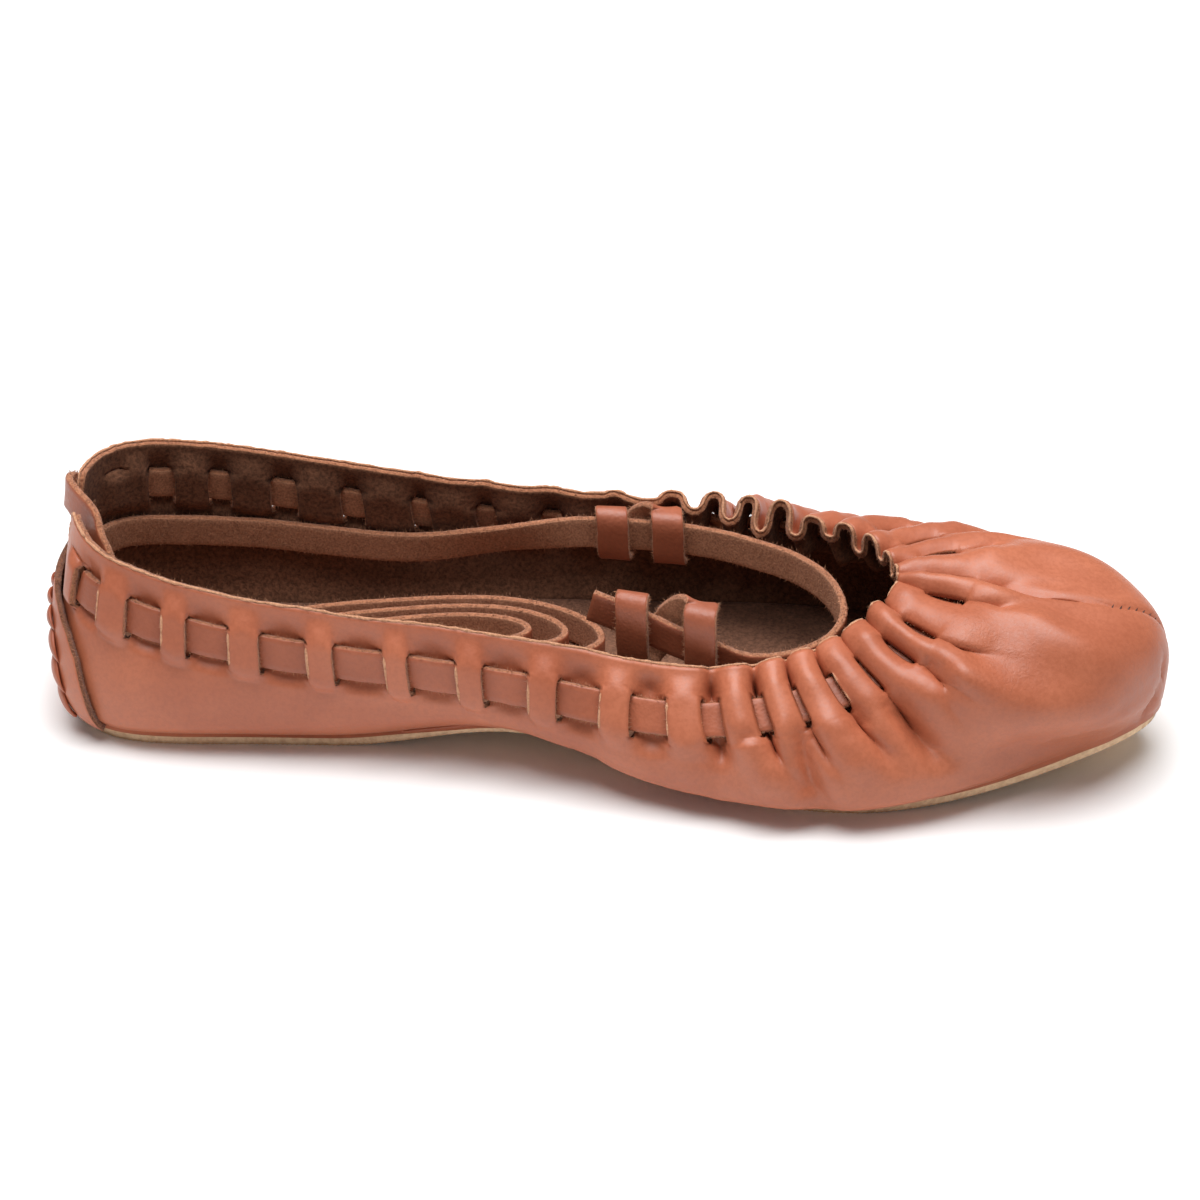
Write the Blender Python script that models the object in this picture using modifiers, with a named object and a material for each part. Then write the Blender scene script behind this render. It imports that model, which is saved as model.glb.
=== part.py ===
"""Left dance shoe: a one-piece leather upper, gathered by a flat leather strap, on a thin outsole.

Every piece is cut from sheet, so every piece is an open surface with a thickness.
Sizes are in millimetres. X runs from the heel to the toe, +Y is the outer side of the foot,
and Z is up from the floor.
"""
import math
from collections import namedtuple

import bmesh
import bpy
import numpy as np

COLLECTION = "dance_shoe"
MM = 0.001

# Sheet thicknesses and clearances
LEATHER = 1.7
COUNTER_LEATHER = 1.6
THONG = 1.2
OUTSOLE = 3.0
INSOLE = 1.5
GAP = 0.35

# Flat strap that gathers the upper
STRAP_WIDTH = 7.5
STRAP_THICK = 1.7
STRAP_STEP = 6.0
STRAP_END_GAP = 1.4
STRAP_END_RUN = 2.4

# Underside of the sole: flat at the heel and under the ball, lifted at the arch and the toe
ARCH_START = 62.0
ARCH_END = 148.0
ARCH_RISE = 4.2
ARCH_INNER_BIAS = 0.0153
TOE_START = 178.0
TOE_REACH = 70.0
TOE_SPRING = 9.5
TOE_CURVE = 1.7
OUTSOLE_MARGIN = 0.6
INSOLE_INSET = 2.3
FEATHER_LIFT = 1.15

# Row of slits below the collar, measured down the wall from the rim
SLIT_TOP = 5.8
SLIT_BOTTOM = 16.7
SLIT_RAMP = 1.0
SLIT_GAP = 0.6
STRAP_DROP = 0.5 * (SLIT_TOP + SLIT_BOTTOM)
WEAVE = 0.5 * LEATHER + 1.6 * GAP + 0.5 * STRAP_THICK
WINDOWS_EACH_SIDE = 17
PLEAT_FADE = 30.0
SEAM_DEPTH = 1.5
SEAM_START = 24.0
SEAM_FULL = 42.0

# Dip in the rim at the back of the heel, where one end of the strap goes inside
NOTCH_TURN = 0.012
NOTCH_HALF_FLAT = 0.010
NOTCH_SHOULDER = 0.010
NOTCH_DEPTH = 8.8

# Sections around the last. turn is 0 at the back of the heel, 0.25 on the inner side,
# 0.5 at the toe and 0.75 on the outer side. foot is where the wall meets the sole.
# rise and crown are the wall's tangents at the sole and at the collar: outward and upward.
Section = namedtuple("Section", "name turn foot_x foot_y rise_out rise_up crown_out crown_up "
                                "collar_x collar_y collar_z")
SECTIONS = [
    Section("heel_back", 0.000, 5, 0, 8, 12, 2, -18, 4, 0, 51),
    Section("heel_inner", 0.055, 9, -22, 9, 8, 2, -16, 10, -18, 47),
    Section("quarter_inner", 0.130, 40, -25.5, 12, 5.5, 2, -13, 40, -26, 40),
    Section("waist_inner", 0.220, 85, -22.5, 12, 5, 3, -11, 82, -28, 36.5),
    Section("arch_inner", 0.290, 120, -24.5, 19, 1.5, 4, -10, 116, -30, 34),
    Section("ball_inner", 0.360, 158, -35.5, 21, 1.5, 8, -9, 146, -31, 31),
    Section("joint_inner", 0.420, 195, -34.5, 18, 6, 12, -3, 171, -24, 33.5),
    Section("toe_inner", 0.465, 229, -19.5, 11, 17, 26, 0, 184, -13, 38),
    Section("toe_tip", 0.500, 245, -4, 8, 28, 41, 0, 187, -4, 40),
    Section("toe_outer", 0.535, 230, 15, 11, 23, 31, -1, 182, 7, 39.5),
    Section("joint_outer", 0.580, 200, 32, 13, 14, 13, -2, 170, 17.5, 38),
    Section("ball_outer", 0.640, 160, 39, 14, 9, 8, -7, 146, 27, 36.5),
    Section("arch_outer", 0.710, 120, 34, 11, 8, 4, -11, 116, 30, 36.5),
    Section("waist_outer", 0.780, 85, 30, 6, 11, 3, -13, 82, 29, 39),
    Section("quarter_outer", 0.870, 40, 27, 5, 13, 2, -15, 40, 27, 45),
    Section("heel_outer", 0.945, 10, 19, 5, 14, 2, -16, 10, 18, 50),
]

# Windows between slits, counted from the middle of the throat towards the heel.
# inner and outer are distances along the strap on each side of the foot.
# ruffle is how far the gathered leather swings in and out.
Gather = namedtuple("Gather", "window inner outer opening ruffle")
GATHERS = [
    Gather(0, 0, 0, 2.4, 1.9),
    Gather(3, 25, 31, 2.4, 2.4),
    Gather(6, 49.5, 58, 3.0, 2.2),
    Gather(7, 58, 67, 5.0, 1.6),
    Gather(8, 68.5, 77, 6.3, 1.0),
    Gather(9, 82.5, 90, 9.0, 0.6),
    Gather(10, 98, 104, 10.0, 0.3),
    Gather(13, 147, 150, 11.5, 0),
    Gather(15, 181, 182, 9.5, 0),
    Gather(17, 210, 210, 7.0, 0),
]

# Edge of the counter: height up the heel from its lower edge, and half its arc there
CounterEdge = namedtuple("CounterEdge", "height half_arc")
COUNTER_EDGE = [
    CounterEdge(0, 33),
    CounterEdge(9, 31),
    CounterEdge(16, 28.5),
    CounterEdge(20.5, 25),
    CounterEdge(24, 19.5),
    CounterEdge(26.5, 11),
]
COUNTER_BOTTOM = 1.6
COUNTER_ARC_DROP = 30.0

# Thong laced through the counter, from one lower corner over the top to the other
THONG_ROUTE = [
    CounterEdge(1.5, 24.5),
    CounterEdge(10, 22.5),
    CounterEdge(16.5, 19.5),
    CounterEdge(20.5, 13),
    CounterEdge(21.5, 0),
]
THONG_WIDTH = 3.4
THONG_WAIST = 2.0
THONG_STITCHES = 12

# Routes of the strap's two ends, on the wall: turn, distance below the rim, distance outward
OnWall = namedtuple("OnWall", "turn drop out")
FRONT_END_HEEL = [
    OnWall(0.040, 11.6, -0.3),
    OnWall(0.029, 12.4, -2.7),
    OnWall(0.015, 15.5, -2.9),
    OnWall(-0.002, 19, -2.7),
    OnWall(-0.022, 21.7, -2.5),
    OnWall(-0.060, 23.2, -2.5),
    OnWall(-0.120, 22.3, -2.7),
    OnWall(-0.160, 21, -3.4),
    OnWall(-0.200, 18.8, -4.8),
    OnWall(-0.245, 11.0, -6.2),
]
FRONT_END_TURN = [
    (112.0, 24.8, 29.4),
    (122.0, 24.8, 29.8),
    (134.0, 25.0, 29.4),
    (146.0, 23.0, 29.2),
    (155.0, 19.4, 29.2),
    (163.5, 14.6, 29.4),
    (170.6, 7.0, 29.6),
    (174.8, -2.5, 29.3),
    (175.2, -10.5, 28.6),
    (171.5, -17.0, 27.4),
    (163.5, -21.0, 26.0),
    (154.5, -22.8, 26.4),
    (147.0, -22.4, 29.2),
    (140.0, -20.8, 30.8),
    (133.5, -19.2, 32.8),
    (126.0, -17.6, 35.0),
    (120.5, -16.6, 36.4),
]
REAR_END_HEEL = [
    OnWall(-0.045, 11.3, 0.3),
    OnWall(-0.034, 10.7, WEAVE),
    OnWall(-0.021, 8.0, 2.5),
    OnWall(-0.008, 4.6, 2.5),
    OnWall(0.003, 2.7, 2.0),
    OnWall(0.013, 2.5, -0.3),
    OnWall(0.026, 4.0, -4.0),
    OnWall(0.045, 6.2, -5.0),
    OnWall(0.070, 9.8, -5.4),
    OnWall(0.100, 14.5, -5.6),
]
REAR_END_DIVE = [
    (47.0, -17.5, 16.5),
    (57.0, -16.0, 11.5),
]

# Oval coil of spare strap on the insole
COIL_CENTRE = (80.0, 2.5)
COIL_HALF_LENGTH = (43.0, 20.0)
COIL_HALF_WIDTH = (17.0, 6.0)
COIL_START = 1.15
COIL_END = 6.0 * math.pi
COIL_STEPS_PER_TURN = 20

# Short wraps wound round the front end, each about a straight axis from its rear to its front
Wrap = namedtuple("Wrap", "rear front half_depth half_height")
INNER_WRAP = Wrap((127.1, -17.8, 32.6), (147.4, -22.5, 32.0), 3.4, 8.5)
OUTER_WRAP = Wrap((120.4, 24.6, 30.4), (135.0, 24.8, 29.8), 3.2, 5.8)
WRAP_TURNS = 1.5
WRAP_STEPS_PER_TURN = 16
WRAP_ROUNDNESS = 0.5
WRAP_STRAP_WIDTH = 7.0

# Mesh resolution
PROFILE_SAMPLES = 61
HEEL_COLUMNS = 11
HEEL_BOWED = 2
BODY_ROWS = (0.14, 0.34, 0.56, 0.78, 1.0)
SLIT_ROWS = (2, 3)
SOLE_STATIONS = 32
SOLE_ACROSS = 5
COUNTER_ROWS = 11
COUNTER_ACROSS = 17

# Colour, roughness
TAN_LEATHER = ((0.47, 0.13, 0.06, 1), 0.45)
STRAP_LEATHER = ((0.40, 0.11, 0.05, 1), 0.5)
THONG_LEATHER = ((0.43, 0.14, 0.07, 1), 0.6)
COUNTER_TAN = ((0.44, 0.12, 0.055, 1), 0.5)
CREPE = ((0.66, 0.42, 0.24, 1), 0.85)
SUEDE = ((0.16, 0.07, 0.04, 1), 0.95)


def loop_spline(turns, values):
    """Smooth closed curve through the values, as a function of the turn around the shoe."""
    count = len(turns)
    steps = np.diff(np.append(turns, turns[0] + 1))
    matrix = np.zeros((count, count))
    right = np.zeros(count)
    for i in range(count):
        before, after = steps[i - 1], steps[i]
        following = (i + 1) % count
        matrix[i, i - 1] += before
        matrix[i, i] += 2 * (before + after)
        matrix[i, following] += after
        right[i] = 6 * ((values[following] - values[i]) / after - (values[i] - values[i - 1]) / before)
    bends = np.linalg.solve(matrix, right)
    values = np.asarray(values, float)

    def at(turn):
        turn = np.mod(np.asarray(turn, float) - turns[0], 1) + turns[0]
        i = np.clip(np.searchsorted(turns, turn, side="right") - 1, 0, count - 1)
        j = (i + 1) % count
        b = (turn - np.asarray(turns)[i]) / steps[i]
        a = 1 - b
        bend = ((a ** 3 - a) * bends[i] + (b ** 3 - b) * bends[j]) * steps[i] ** 2 / 6
        return a * values[i] + b * values[j] + bend

    return at


TURNS = [section.turn for section in SECTIONS]
AROUND = {
    field: loop_spline(TURNS, [getattr(section, field) for section in SECTIONS])
    for field in Section._fields[2:]
}


def smoothstep(x):
    x = np.clip(x, 0, 1)
    return x * x * (3 - 2 * x)


def sole_lift(x, y):
    """Height of the outsole's underside above the floor."""
    along = np.clip((x - ARCH_START) / (ARCH_END - ARCH_START), 0, 1)
    arch = ARCH_RISE * np.sin(math.pi * along) ** 2 * (1 - ARCH_INNER_BIAS * y)
    toe = TOE_SPRING * np.clip((x - TOE_START) / TOE_REACH, 0, None) ** TOE_CURVE
    return arch + toe


def foot_line(turn):
    """Where the wall meets the sole, and the outward direction there, both in plan."""
    turn = np.asarray(turn, float)
    place = np.stack([AROUND["foot_x"](turn), AROUND["foot_y"](turn)], -1)
    step = 1e-4
    dx = AROUND["foot_x"](turn + step) - AROUND["foot_x"](turn - step)
    dy = AROUND["foot_y"](turn + step) - AROUND["foot_y"](turn - step)
    outward = np.stack([dy, -dx], -1) / np.hypot(dx, dy)[..., None]
    return place, outward


def wall_profiles(turn):
    """Points down the wall from the collar to the sole, one profile for each turn."""
    place, outward = foot_line(turn)
    x, y = place[:, 0], place[:, 1]
    foot = np.stack([x, y, sole_lift(x, y) + OUTSOLE + FEATHER_LIFT], -1)
    collar = np.stack([AROUND[name](turn) for name in ("collar_x", "collar_y", "collar_z")], -1)

    def tangent(out, up):
        return np.column_stack([outward * AROUND[out](turn)[:, None], AROUND[up](turn)])

    rise = foot + tangent("rise_out", "rise_up")
    crown = collar + tangent("crown_out", "crown_up")
    v = np.linspace(0, 1, PROFILE_SAMPLES)[None, :, None]
    collar, crown, rise, foot = (p[:, None, :] for p in (collar, crown, rise, foot))
    return (1 - v) ** 3 * collar + 3 * v * (1 - v) ** 2 * crown + 3 * v * v * (1 - v) * rise + v ** 3 * foot


def down_profiles(profiles):
    """Distance down each profile from the collar."""
    lengths = np.linalg.norm(np.diff(profiles, axis=1), axis=2)
    return np.pad(np.cumsum(lengths, axis=1), ((0, 0), (1, 0)))


def wall_length(turn):
    return down_profiles(wall_profiles(np.atleast_1d(turn)))[:, -1]


def wall_middle(turn, drop):
    """Middle of the wall's thickness, at a distance below the collar. A negative drop is above it."""
    profiles = wall_profiles(turn)
    down = down_profiles(profiles)
    index = np.clip((down <= drop[:, None]).sum(axis=1) - 1, 0, PROFILE_SAMPLES - 2)
    each = np.arange(len(turn))
    start, end = profiles[each, index], profiles[each, index + 1]
    share = (drop - down[each, index]) / (down[each, index + 1] - down[each, index])
    return start + (end - start) * share[:, None]


def on_wall(turn, drop, out=0.0):
    """Point at a turn around the shoe, a distance below the rim and a distance out of the wall."""
    turn, drop, out = (a.astype(float) for a in np.broadcast_arrays(turn, drop, out))
    shape = turn.shape
    turn, drop, out = turn.ravel(), drop.ravel(), out.ravel()
    middle = wall_middle(turn, drop)
    turn_step, drop_step = 5e-4, 0.4
    inside = np.clip(drop, drop_step, wall_length(turn) - drop_step)
    along = wall_middle(turn + turn_step, inside) - wall_middle(turn - turn_step, inside)
    down = wall_middle(turn, inside + drop_step) - wall_middle(turn, inside - drop_step)
    normal = np.cross(down, along)
    normal /= np.linalg.norm(normal, axis=1)[:, None]
    return (middle + normal * out[:, None]).reshape(shape + (3,))


def line_length(points):
    """Running length along a line of points."""
    return np.append(0, np.cumsum(np.linalg.norm(np.diff(points, axis=0), axis=1)))


STRAP_TURNS = np.linspace(0, 1, 721)
STRAP_LINE = line_length(on_wall(STRAP_TURNS, STRAP_DROP))
STRAP_LINE -= np.interp(0.5, STRAP_TURNS, STRAP_LINE)


def strap_turn(distance):
    """Turn at a distance along the strap from the middle of the throat, negative on the inner side."""
    return np.interp(distance, STRAP_LINE, STRAP_TURNS)


def gather(window, field):
    """Value of a column of the table of windows. Inner windows have negative numbers."""
    keys = [row.window for row in GATHERS]
    return float(np.interp(abs(window), keys, [getattr(row, field) for row in GATHERS]))


def window_place(window):
    """Distance of a window's middle along the strap."""
    return math.copysign(gather(window, "inner" if window < 0 else "outer"), window)


STRAP_REACH = window_place(WINDOWS_EACH_SIDE) + 0.5 * gather(WINDOWS_EACH_SIDE, "opening")

# One line of points down the wall. left and right are the two sides of a slit. Each has a bow:
# +1 where the leather bows out over the strap, -1 where it is pushed in behind it.
Column = namedtuple("Column", "turn wave ruffle left right seam")
SlitSide = namedtuple("SlitSide", "turn bow")


def plain_column(turn, wave=0, ruffle=0.0, bow=0, seam=False):
    side = SlitSide(turn, bow)
    return Column(turn, wave, ruffle, side, side, seam)


def slit_column(distance, left_bow, right_bow):
    left = SlitSide(strap_turn(distance - 0.5 * SLIT_GAP), left_bow)
    right = SlitSide(strap_turn(distance + 0.5 * SLIT_GAP), right_bow)
    return Column(strap_turn(distance), 0, 0.0, left, right, False)


def upper_columns():
    """Columns once around the wall, from the first window on the inner side of the heel."""
    columns = []
    for window in range(-WINDOWS_EACH_SIDE, WINDOWS_EACH_SIDE + 1):
        middle, half = window_place(window), 0.5 * gather(window, "opening")
        ruffle = gather(window, "ruffle")
        last = window == WINDOWS_EACH_SIDE
        columns.append(slit_column(middle - half, 1, -1))
        columns.append(plain_column(strap_turn(middle), -1, ruffle, -1, window == 0))
        columns.append(slit_column(middle + half, -1, -1 if last else 1))
        if not last:
            following = window_place(window + 1) - 0.5 * gather(window + 1, "opening")
            bar = 0.5 * (middle + half + following)
            columns.append(plain_column(strap_turn(bar), 1, ruffle, 1))
    first, last = columns[0].turn, columns[-1].turn - 1
    bows = [-1] * HEEL_BOWED + [0] * (HEEL_COLUMNS - 2 * HEEL_BOWED) + [1] * HEEL_BOWED
    for turn, bow in zip(np.linspace(last, first, HEEL_COLUMNS + 2)[1:-1], bows):
        columns.append(plain_column(turn, bow=bow))
    return columns


def notch(turn):
    """Depth of the dip in the rim at the back of the heel."""
    away = abs((turn - NOTCH_TURN + 0.5) % 1 - 0.5)
    return NOTCH_DEPTH * smoothstep((NOTCH_HALF_FLAT + NOTCH_SHOULDER - away) / NOTCH_SHOULDER)


def row_drops(turn):
    """Distances below the collar of the rows of points down one column."""
    rim = notch(turn)
    band = np.array([0, SLIT_TOP, SLIT_TOP + SLIT_RAMP, SLIT_BOTTOM - SLIT_RAMP, SLIT_BOTTOM])
    band = rim + band * (SLIT_BOTTOM - rim) / SLIT_BOTTOM
    body = SLIT_BOTTOM + np.array(BODY_ROWS) * (wall_length(turn)[0] - SLIT_BOTTOM)
    return np.concatenate([band, body])


def folds(column, drops):
    """How far the gathered leather stands out of the wall, down one column."""
    fade = np.clip(1 - (drops - SLIT_BOTTOM) / PLEAT_FADE, 0, 1) ** 1.5
    out = column.wave * column.ruffle * fade
    if column.seam:
        out = out - SEAM_DEPTH * smoothstep((drops - SEAM_START) / (SEAM_FULL - SEAM_START))
    return out


def build_upper():
    """The wall, with each slit left open between a bar that bows out and a tab that is pushed in."""
    mesh = bmesh.new()

    def points(turn, drops, out):
        return [mesh.verts.new(p) for p in on_wall(np.full(len(drops), turn), drops, out)]

    lefts, rights = [], []
    for column in upper_columns():
        drops = row_drops(column.turn)
        out = folds(column, drops)
        bowed = np.zeros(len(drops))
        bowed[list(SLIT_ROWS)] = WEAVE
        left = points(column.turn, drops, out + bowed * column.left.bow)
        right = left
        if column.left != column.right:
            right = list(left)
            for side, verts in ((column.left, left), (column.right, right)):
                slit = points(side.turn, drops[list(SLIT_ROWS)], np.full(len(SLIT_ROWS), side.bow * WEAVE))
                for row, vert in zip(SLIT_ROWS, slit):
                    verts[row] = vert
        lefts.append(left)
        rights.append(right)
    for i, here in enumerate(rights):
        there = lefts[(i + 1) % len(lefts)]
        for row in range(len(here) - 1):
            mesh.faces.new((here[row], here[row + 1], there[row + 1], there[row]))
    loose = [vert for vert in mesh.verts if not vert.link_faces]
    bmesh.ops.delete(mesh, geom=loose, context="VERTS")
    return mesh


def build_grid(points):
    """Open surface through rows of points. Points that coincide are joined."""
    mesh = bmesh.new()
    rows = [[mesh.verts.new(p) for p in row] for row in points]
    for row, following in zip(rows, rows[1:]):
        for i in range(len(row) - 1):
            mesh.faces.new((row[i], row[i + 1], following[i + 1], following[i]))
    bmesh.ops.remove_doubles(mesh, verts=mesh.verts, dist=0.01)
    return mesh


def build_sole(margin, height):
    """Sheet under the foot, from the inner edge to the outer edge, with the arch and the toe spring."""
    station = 0.25 - 0.25 * np.cos(np.linspace(0, math.pi, SOLE_STATIONS + 1))
    edges = []
    for turn in (station, 1 - station):
        place, outward = foot_line(turn)
        edges.append(place + outward * margin)
    across = np.linspace(0, 1, SOLE_ACROSS)[None, :, None]
    plan = edges[0][:, None] * (1 - across) + edges[1][:, None] * across
    z = sole_lift(plan[..., 0], plan[..., 1]) + height
    return build_grid(np.concatenate([plan, z[..., None]], -1))


def heel_turn(arc):
    """Turn at an arc around the heel from the middle of its back."""
    turns = np.linspace(-0.2, 0.2, 161)
    along = line_length(on_wall(turns, COUNTER_ARC_DROP))
    return np.interp(arc, along - np.interp(0, turns, along), turns)


def on_heel(arc, height, out):
    """Point on the heel: an arc around it, a height above the counter's lower edge, a distance out."""
    turn = heel_turn(arc)
    drop = wall_length(np.ravel(turn)).reshape(np.shape(turn)) - COUNTER_BOTTOM - height
    return on_wall(turn, drop, out)


COUNTER_OUT = 0.5 * LEATHER + 2 * GAP + 0.5 * COUNTER_LEATHER
THONG_OUT = COUNTER_OUT + 0.5 * COUNTER_LEATHER + GAP + 0.5 * THONG


def build_counter():
    heights = [edge.height for edge in COUNTER_EDGE]
    height = np.linspace(0, heights[-1], COUNTER_ROWS)
    half_arc = np.interp(height, heights, [edge.half_arc for edge in COUNTER_EDGE])
    across = np.linspace(-1, 1, COUNTER_ACROSS)
    arc = half_arc[:, None] * across
    return build_grid(on_heel(arc, height[:, None] + 0 * arc, COUNTER_OUT))


def smooth_line(points, step):
    """Points at even steps along a smooth curve through the given points.

    Columns past the third, such as a direction at each point, are carried along.
    """
    points = np.asarray(points, float)
    padded = np.vstack([2 * points[0] - points[1], points, 2 * points[-1] - points[-2]])
    fine = []
    for before, start, end, after in zip(padded, padded[1:], padded[2:], padded[3:]):
        t = np.linspace(0, 1, 24, endpoint=False)[:, None]
        square = 2 * before - 5 * start + 4 * end - after
        cube = 3 * start - before - 3 * end + after
        fine.append(start + 0.5 * ((end - before) * t + square * t ** 2 + cube * t ** 3))
    fine = np.vstack(fine + [points[-1:]])
    length = line_length(fine[:, :3])
    even = np.linspace(0, length[-1], max(2, round(length[-1] / step)) + 1)
    return np.column_stack([np.interp(even, length, fine[:, k]) for k in range(points.shape[1])])


def build_thong():
    """Band over the counter, narrow between stitches and wide at each one."""
    climb = [(edge.half_arc, edge.height) for edge in THONG_ROUTE]
    route = climb + [(-arc, height) for arc, height in climb[-2::-1]]
    line = smooth_line(route, 1.0)
    length = line_length(line)
    even = np.linspace(0, length[-1], 3 * THONG_STITCHES + 1)
    line = np.column_stack([np.interp(even, length, line[:, k]) for k in range(2)])
    along = np.gradient(line, axis=0)
    side = np.column_stack([-along[:, 1], along[:, 0]]) / np.linalg.norm(along, axis=1)[:, None]
    swell = np.abs(np.sin(np.linspace(0, math.pi * THONG_STITCHES, len(line))))[:, None]
    half = 0.5 * (THONG_WAIST + (THONG_WIDTH - THONG_WAIST) * swell)
    edges = np.stack([line - side * half, line, line + side * half], axis=1)
    return build_grid(on_heel(edges[..., 0], edges[..., 1], THONG_OUT))


def build_drawstring():
    """Strap through all the slits, along the middle of the wall."""
    stops = [column.turn for column in upper_columns()[:-HEEL_COLUMNS]]
    turn = np.array(stops)[:, None]
    drop = STRAP_DROP + 0.5 * STRAP_WIDTH * np.array([[-1, 1]])
    return build_grid(on_wall(turn, drop))


def wall_point(turn, drop, out=0.0):
    """Point of a strap's route on the wall, and the direction up the wall there."""
    return np.append(on_wall(turn, drop, out), on_wall(turn, drop - 1) - on_wall(turn, drop + 1))


def wall_points(route):
    return [wall_point(*step) for step in route]


def upright_points(points):
    """Points of a strap's route away from the wall, where the strap stands on its edge."""
    return [np.append(point, (0, 0, 2)) for point in points]


def build_strap(route, width=STRAP_WIDTH):
    """Strap along a route of points, each with the direction across the strap."""
    line, upright = route[:, :3], route[:, 3:]
    along = np.gradient(line, axis=0)
    along /= np.linalg.norm(along, axis=1)[:, None]
    upright = upright - along * (upright * along).sum(axis=1)[:, None]
    upright /= np.linalg.norm(upright, axis=1)[:, None]
    return build_grid(np.stack([line - upright * 0.5 * width, line + upright * 0.5 * width], axis=1))


def strap_start(side):
    """First points of a loose end, just past the last slit."""
    distances = [side * (STRAP_REACH + beyond) for beyond in (STRAP_END_GAP, STRAP_END_RUN)]
    return [wall_point(strap_turn(distance), STRAP_DROP) for distance in distances]


def front_end_line():
    """From the inner side of the heel round inside it, along the outer wall and back at the throat."""
    points = strap_start(-1) + wall_points(FRONT_END_HEEL) + upright_points(FRONT_END_TURN)
    return smooth_line(points, STRAP_STEP)


def coil_points():
    """Turns of the coil on the insole, each inside the one before."""
    steps = round((COIL_END - COIL_START) / (2 * math.pi) * COIL_STEPS_PER_TURN)
    angle = np.linspace(COIL_START, COIL_END, steps + 1)
    share = (angle - COIL_START) / (COIL_END - COIL_START)
    x = COIL_CENTRE[0] - np.cos(angle) * (COIL_HALF_LENGTH[0] * (1 - share) + COIL_HALF_LENGTH[1] * share)
    y = COIL_CENTRE[1] - np.sin(angle) * (COIL_HALF_WIDTH[0] * (1 - share) + COIL_HALF_WIDTH[1] * share)
    z = sole_lift(x, y) + OUTSOLE + GAP + INSOLE + 2 * GAP + 0.5 * STRAP_WIDTH
    return np.column_stack([x, y, z]).tolist()


def rear_end_line():
    """From the outer side round the back of the heel, in at the notch and down to the coil."""
    points = strap_start(1) + wall_points(REAR_END_HEEL) + upright_points(REAR_END_DIVE + coil_points())
    return smooth_line(points, STRAP_STEP)


def build_wrap(wrap):
    """Strap wound round an axis, from the top over its inner side and down."""
    steps = round(WRAP_TURNS * WRAP_STEPS_PER_TURN)
    share = np.linspace(0, 1, steps + 1)[:, None]
    angle = 2 * math.pi * WRAP_TURNS * share

    def rounded(wave):
        return np.sign(wave) * np.abs(wave) ** WRAP_ROUNDNESS

    rear, front = np.array(wrap.rear), np.array(wrap.front)
    axis = (front - rear) / np.linalg.norm(front - rear)
    inward = np.cross(axis, (0, 0, 1))
    up = np.cross(inward, axis)
    depth = wrap.half_depth * rounded(np.sin(angle))
    height = wrap.half_height * rounded(np.cos(angle))
    line = rear + (front - rear) * share + inward * depth + up * height
    return build_strap(np.column_stack([line, np.tile(axis, (len(line), 1))]), WRAP_STRAP_WIDTH)


def material(name, look):
    colour, roughness = look
    made = bpy.data.materials.new(name)
    made.use_nodes = True
    shader = made.node_tree.nodes["Principled BSDF"]
    shader.inputs["Base Color"].default_value = colour
    shader.inputs["Roughness"].default_value = roughness
    shader.inputs["Metallic"].default_value = 0.0
    made.diffuse_color = colour
    return made


def add_sheet(name, mesh, thickness, look, root):
    """Object made of an open surface, thickened equally to both sides."""
    data = bpy.data.meshes.new(name)
    bmesh.ops.scale(mesh, vec=(MM, MM, MM), verts=mesh.verts)
    bmesh.ops.recalc_face_normals(mesh, faces=mesh.faces)
    mesh.to_mesh(data)
    mesh.free()
    data.shade_smooth()
    data.materials.append(material(name, look))
    piece = bpy.data.objects.new(name, data)
    solid = piece.modifiers.new("Thickness", "SOLIDIFY")
    solid.thickness = thickness * MM
    solid.offset = 0
    piece.parent = root
    bpy.data.collections[COLLECTION].objects.link(piece)
    return piece


def stand_on_floor(root, pieces):
    """Put the middle of the given pieces' box over the origin."""
    depsgraph = bpy.context.evaluated_depsgraph_get()
    corners = []
    for piece in pieces:
        data = piece.evaluated_get(depsgraph).data
        places = np.empty(3 * len(data.vertices))
        data.vertices.foreach_get("co", places)
        corners.append(places.reshape(-1, 3))
    corners = np.vstack(corners)
    middle = 0.5 * (corners.min(axis=0) + corners.max(axis=0))
    root.location = (-middle[0], -middle[1], 0)


def main():
    for old in list(bpy.data.objects):
        bpy.data.objects.remove(old, do_unlink=True)
    collection = bpy.data.collections.new(COLLECTION)
    bpy.context.scene.collection.children.link(collection)
    root = bpy.data.objects.new("shoe_root", None)
    collection.objects.link(root)
    insole_height = OUTSOLE + GAP + 0.5 * INSOLE
    pieces = [
        add_sheet("outsole", build_sole(OUTSOLE_MARGIN, 0.5 * OUTSOLE), OUTSOLE, CREPE, root),
        add_sheet("insole", build_sole(-INSOLE_INSET, insole_height), INSOLE, SUEDE, root),
        add_sheet("upper", build_upper(), LEATHER, TAN_LEATHER, root),
        add_sheet("heel_counter", build_counter(), COUNTER_LEATHER, COUNTER_TAN, root),
        add_sheet("counter_thong", build_thong(), THONG, THONG_LEATHER, root),
        add_sheet("drawstring", build_drawstring(), STRAP_THICK, STRAP_LEATHER, root),
    ]
    add_sheet("strap_end_front", build_strap(front_end_line()), STRAP_THICK, STRAP_LEATHER, root)
    add_sheet("strap_end_rear", build_strap(rear_end_line()), STRAP_THICK, STRAP_LEATHER, root)
    add_sheet("strap_wrap_inner", build_wrap(INNER_WRAP), STRAP_THICK, STRAP_LEATHER, root)
    add_sheet("strap_wrap_outer", build_wrap(OUTER_WRAP), STRAP_THICK, STRAP_LEATHER, root)
    stand_on_floor(root, pieces)


main()
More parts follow.
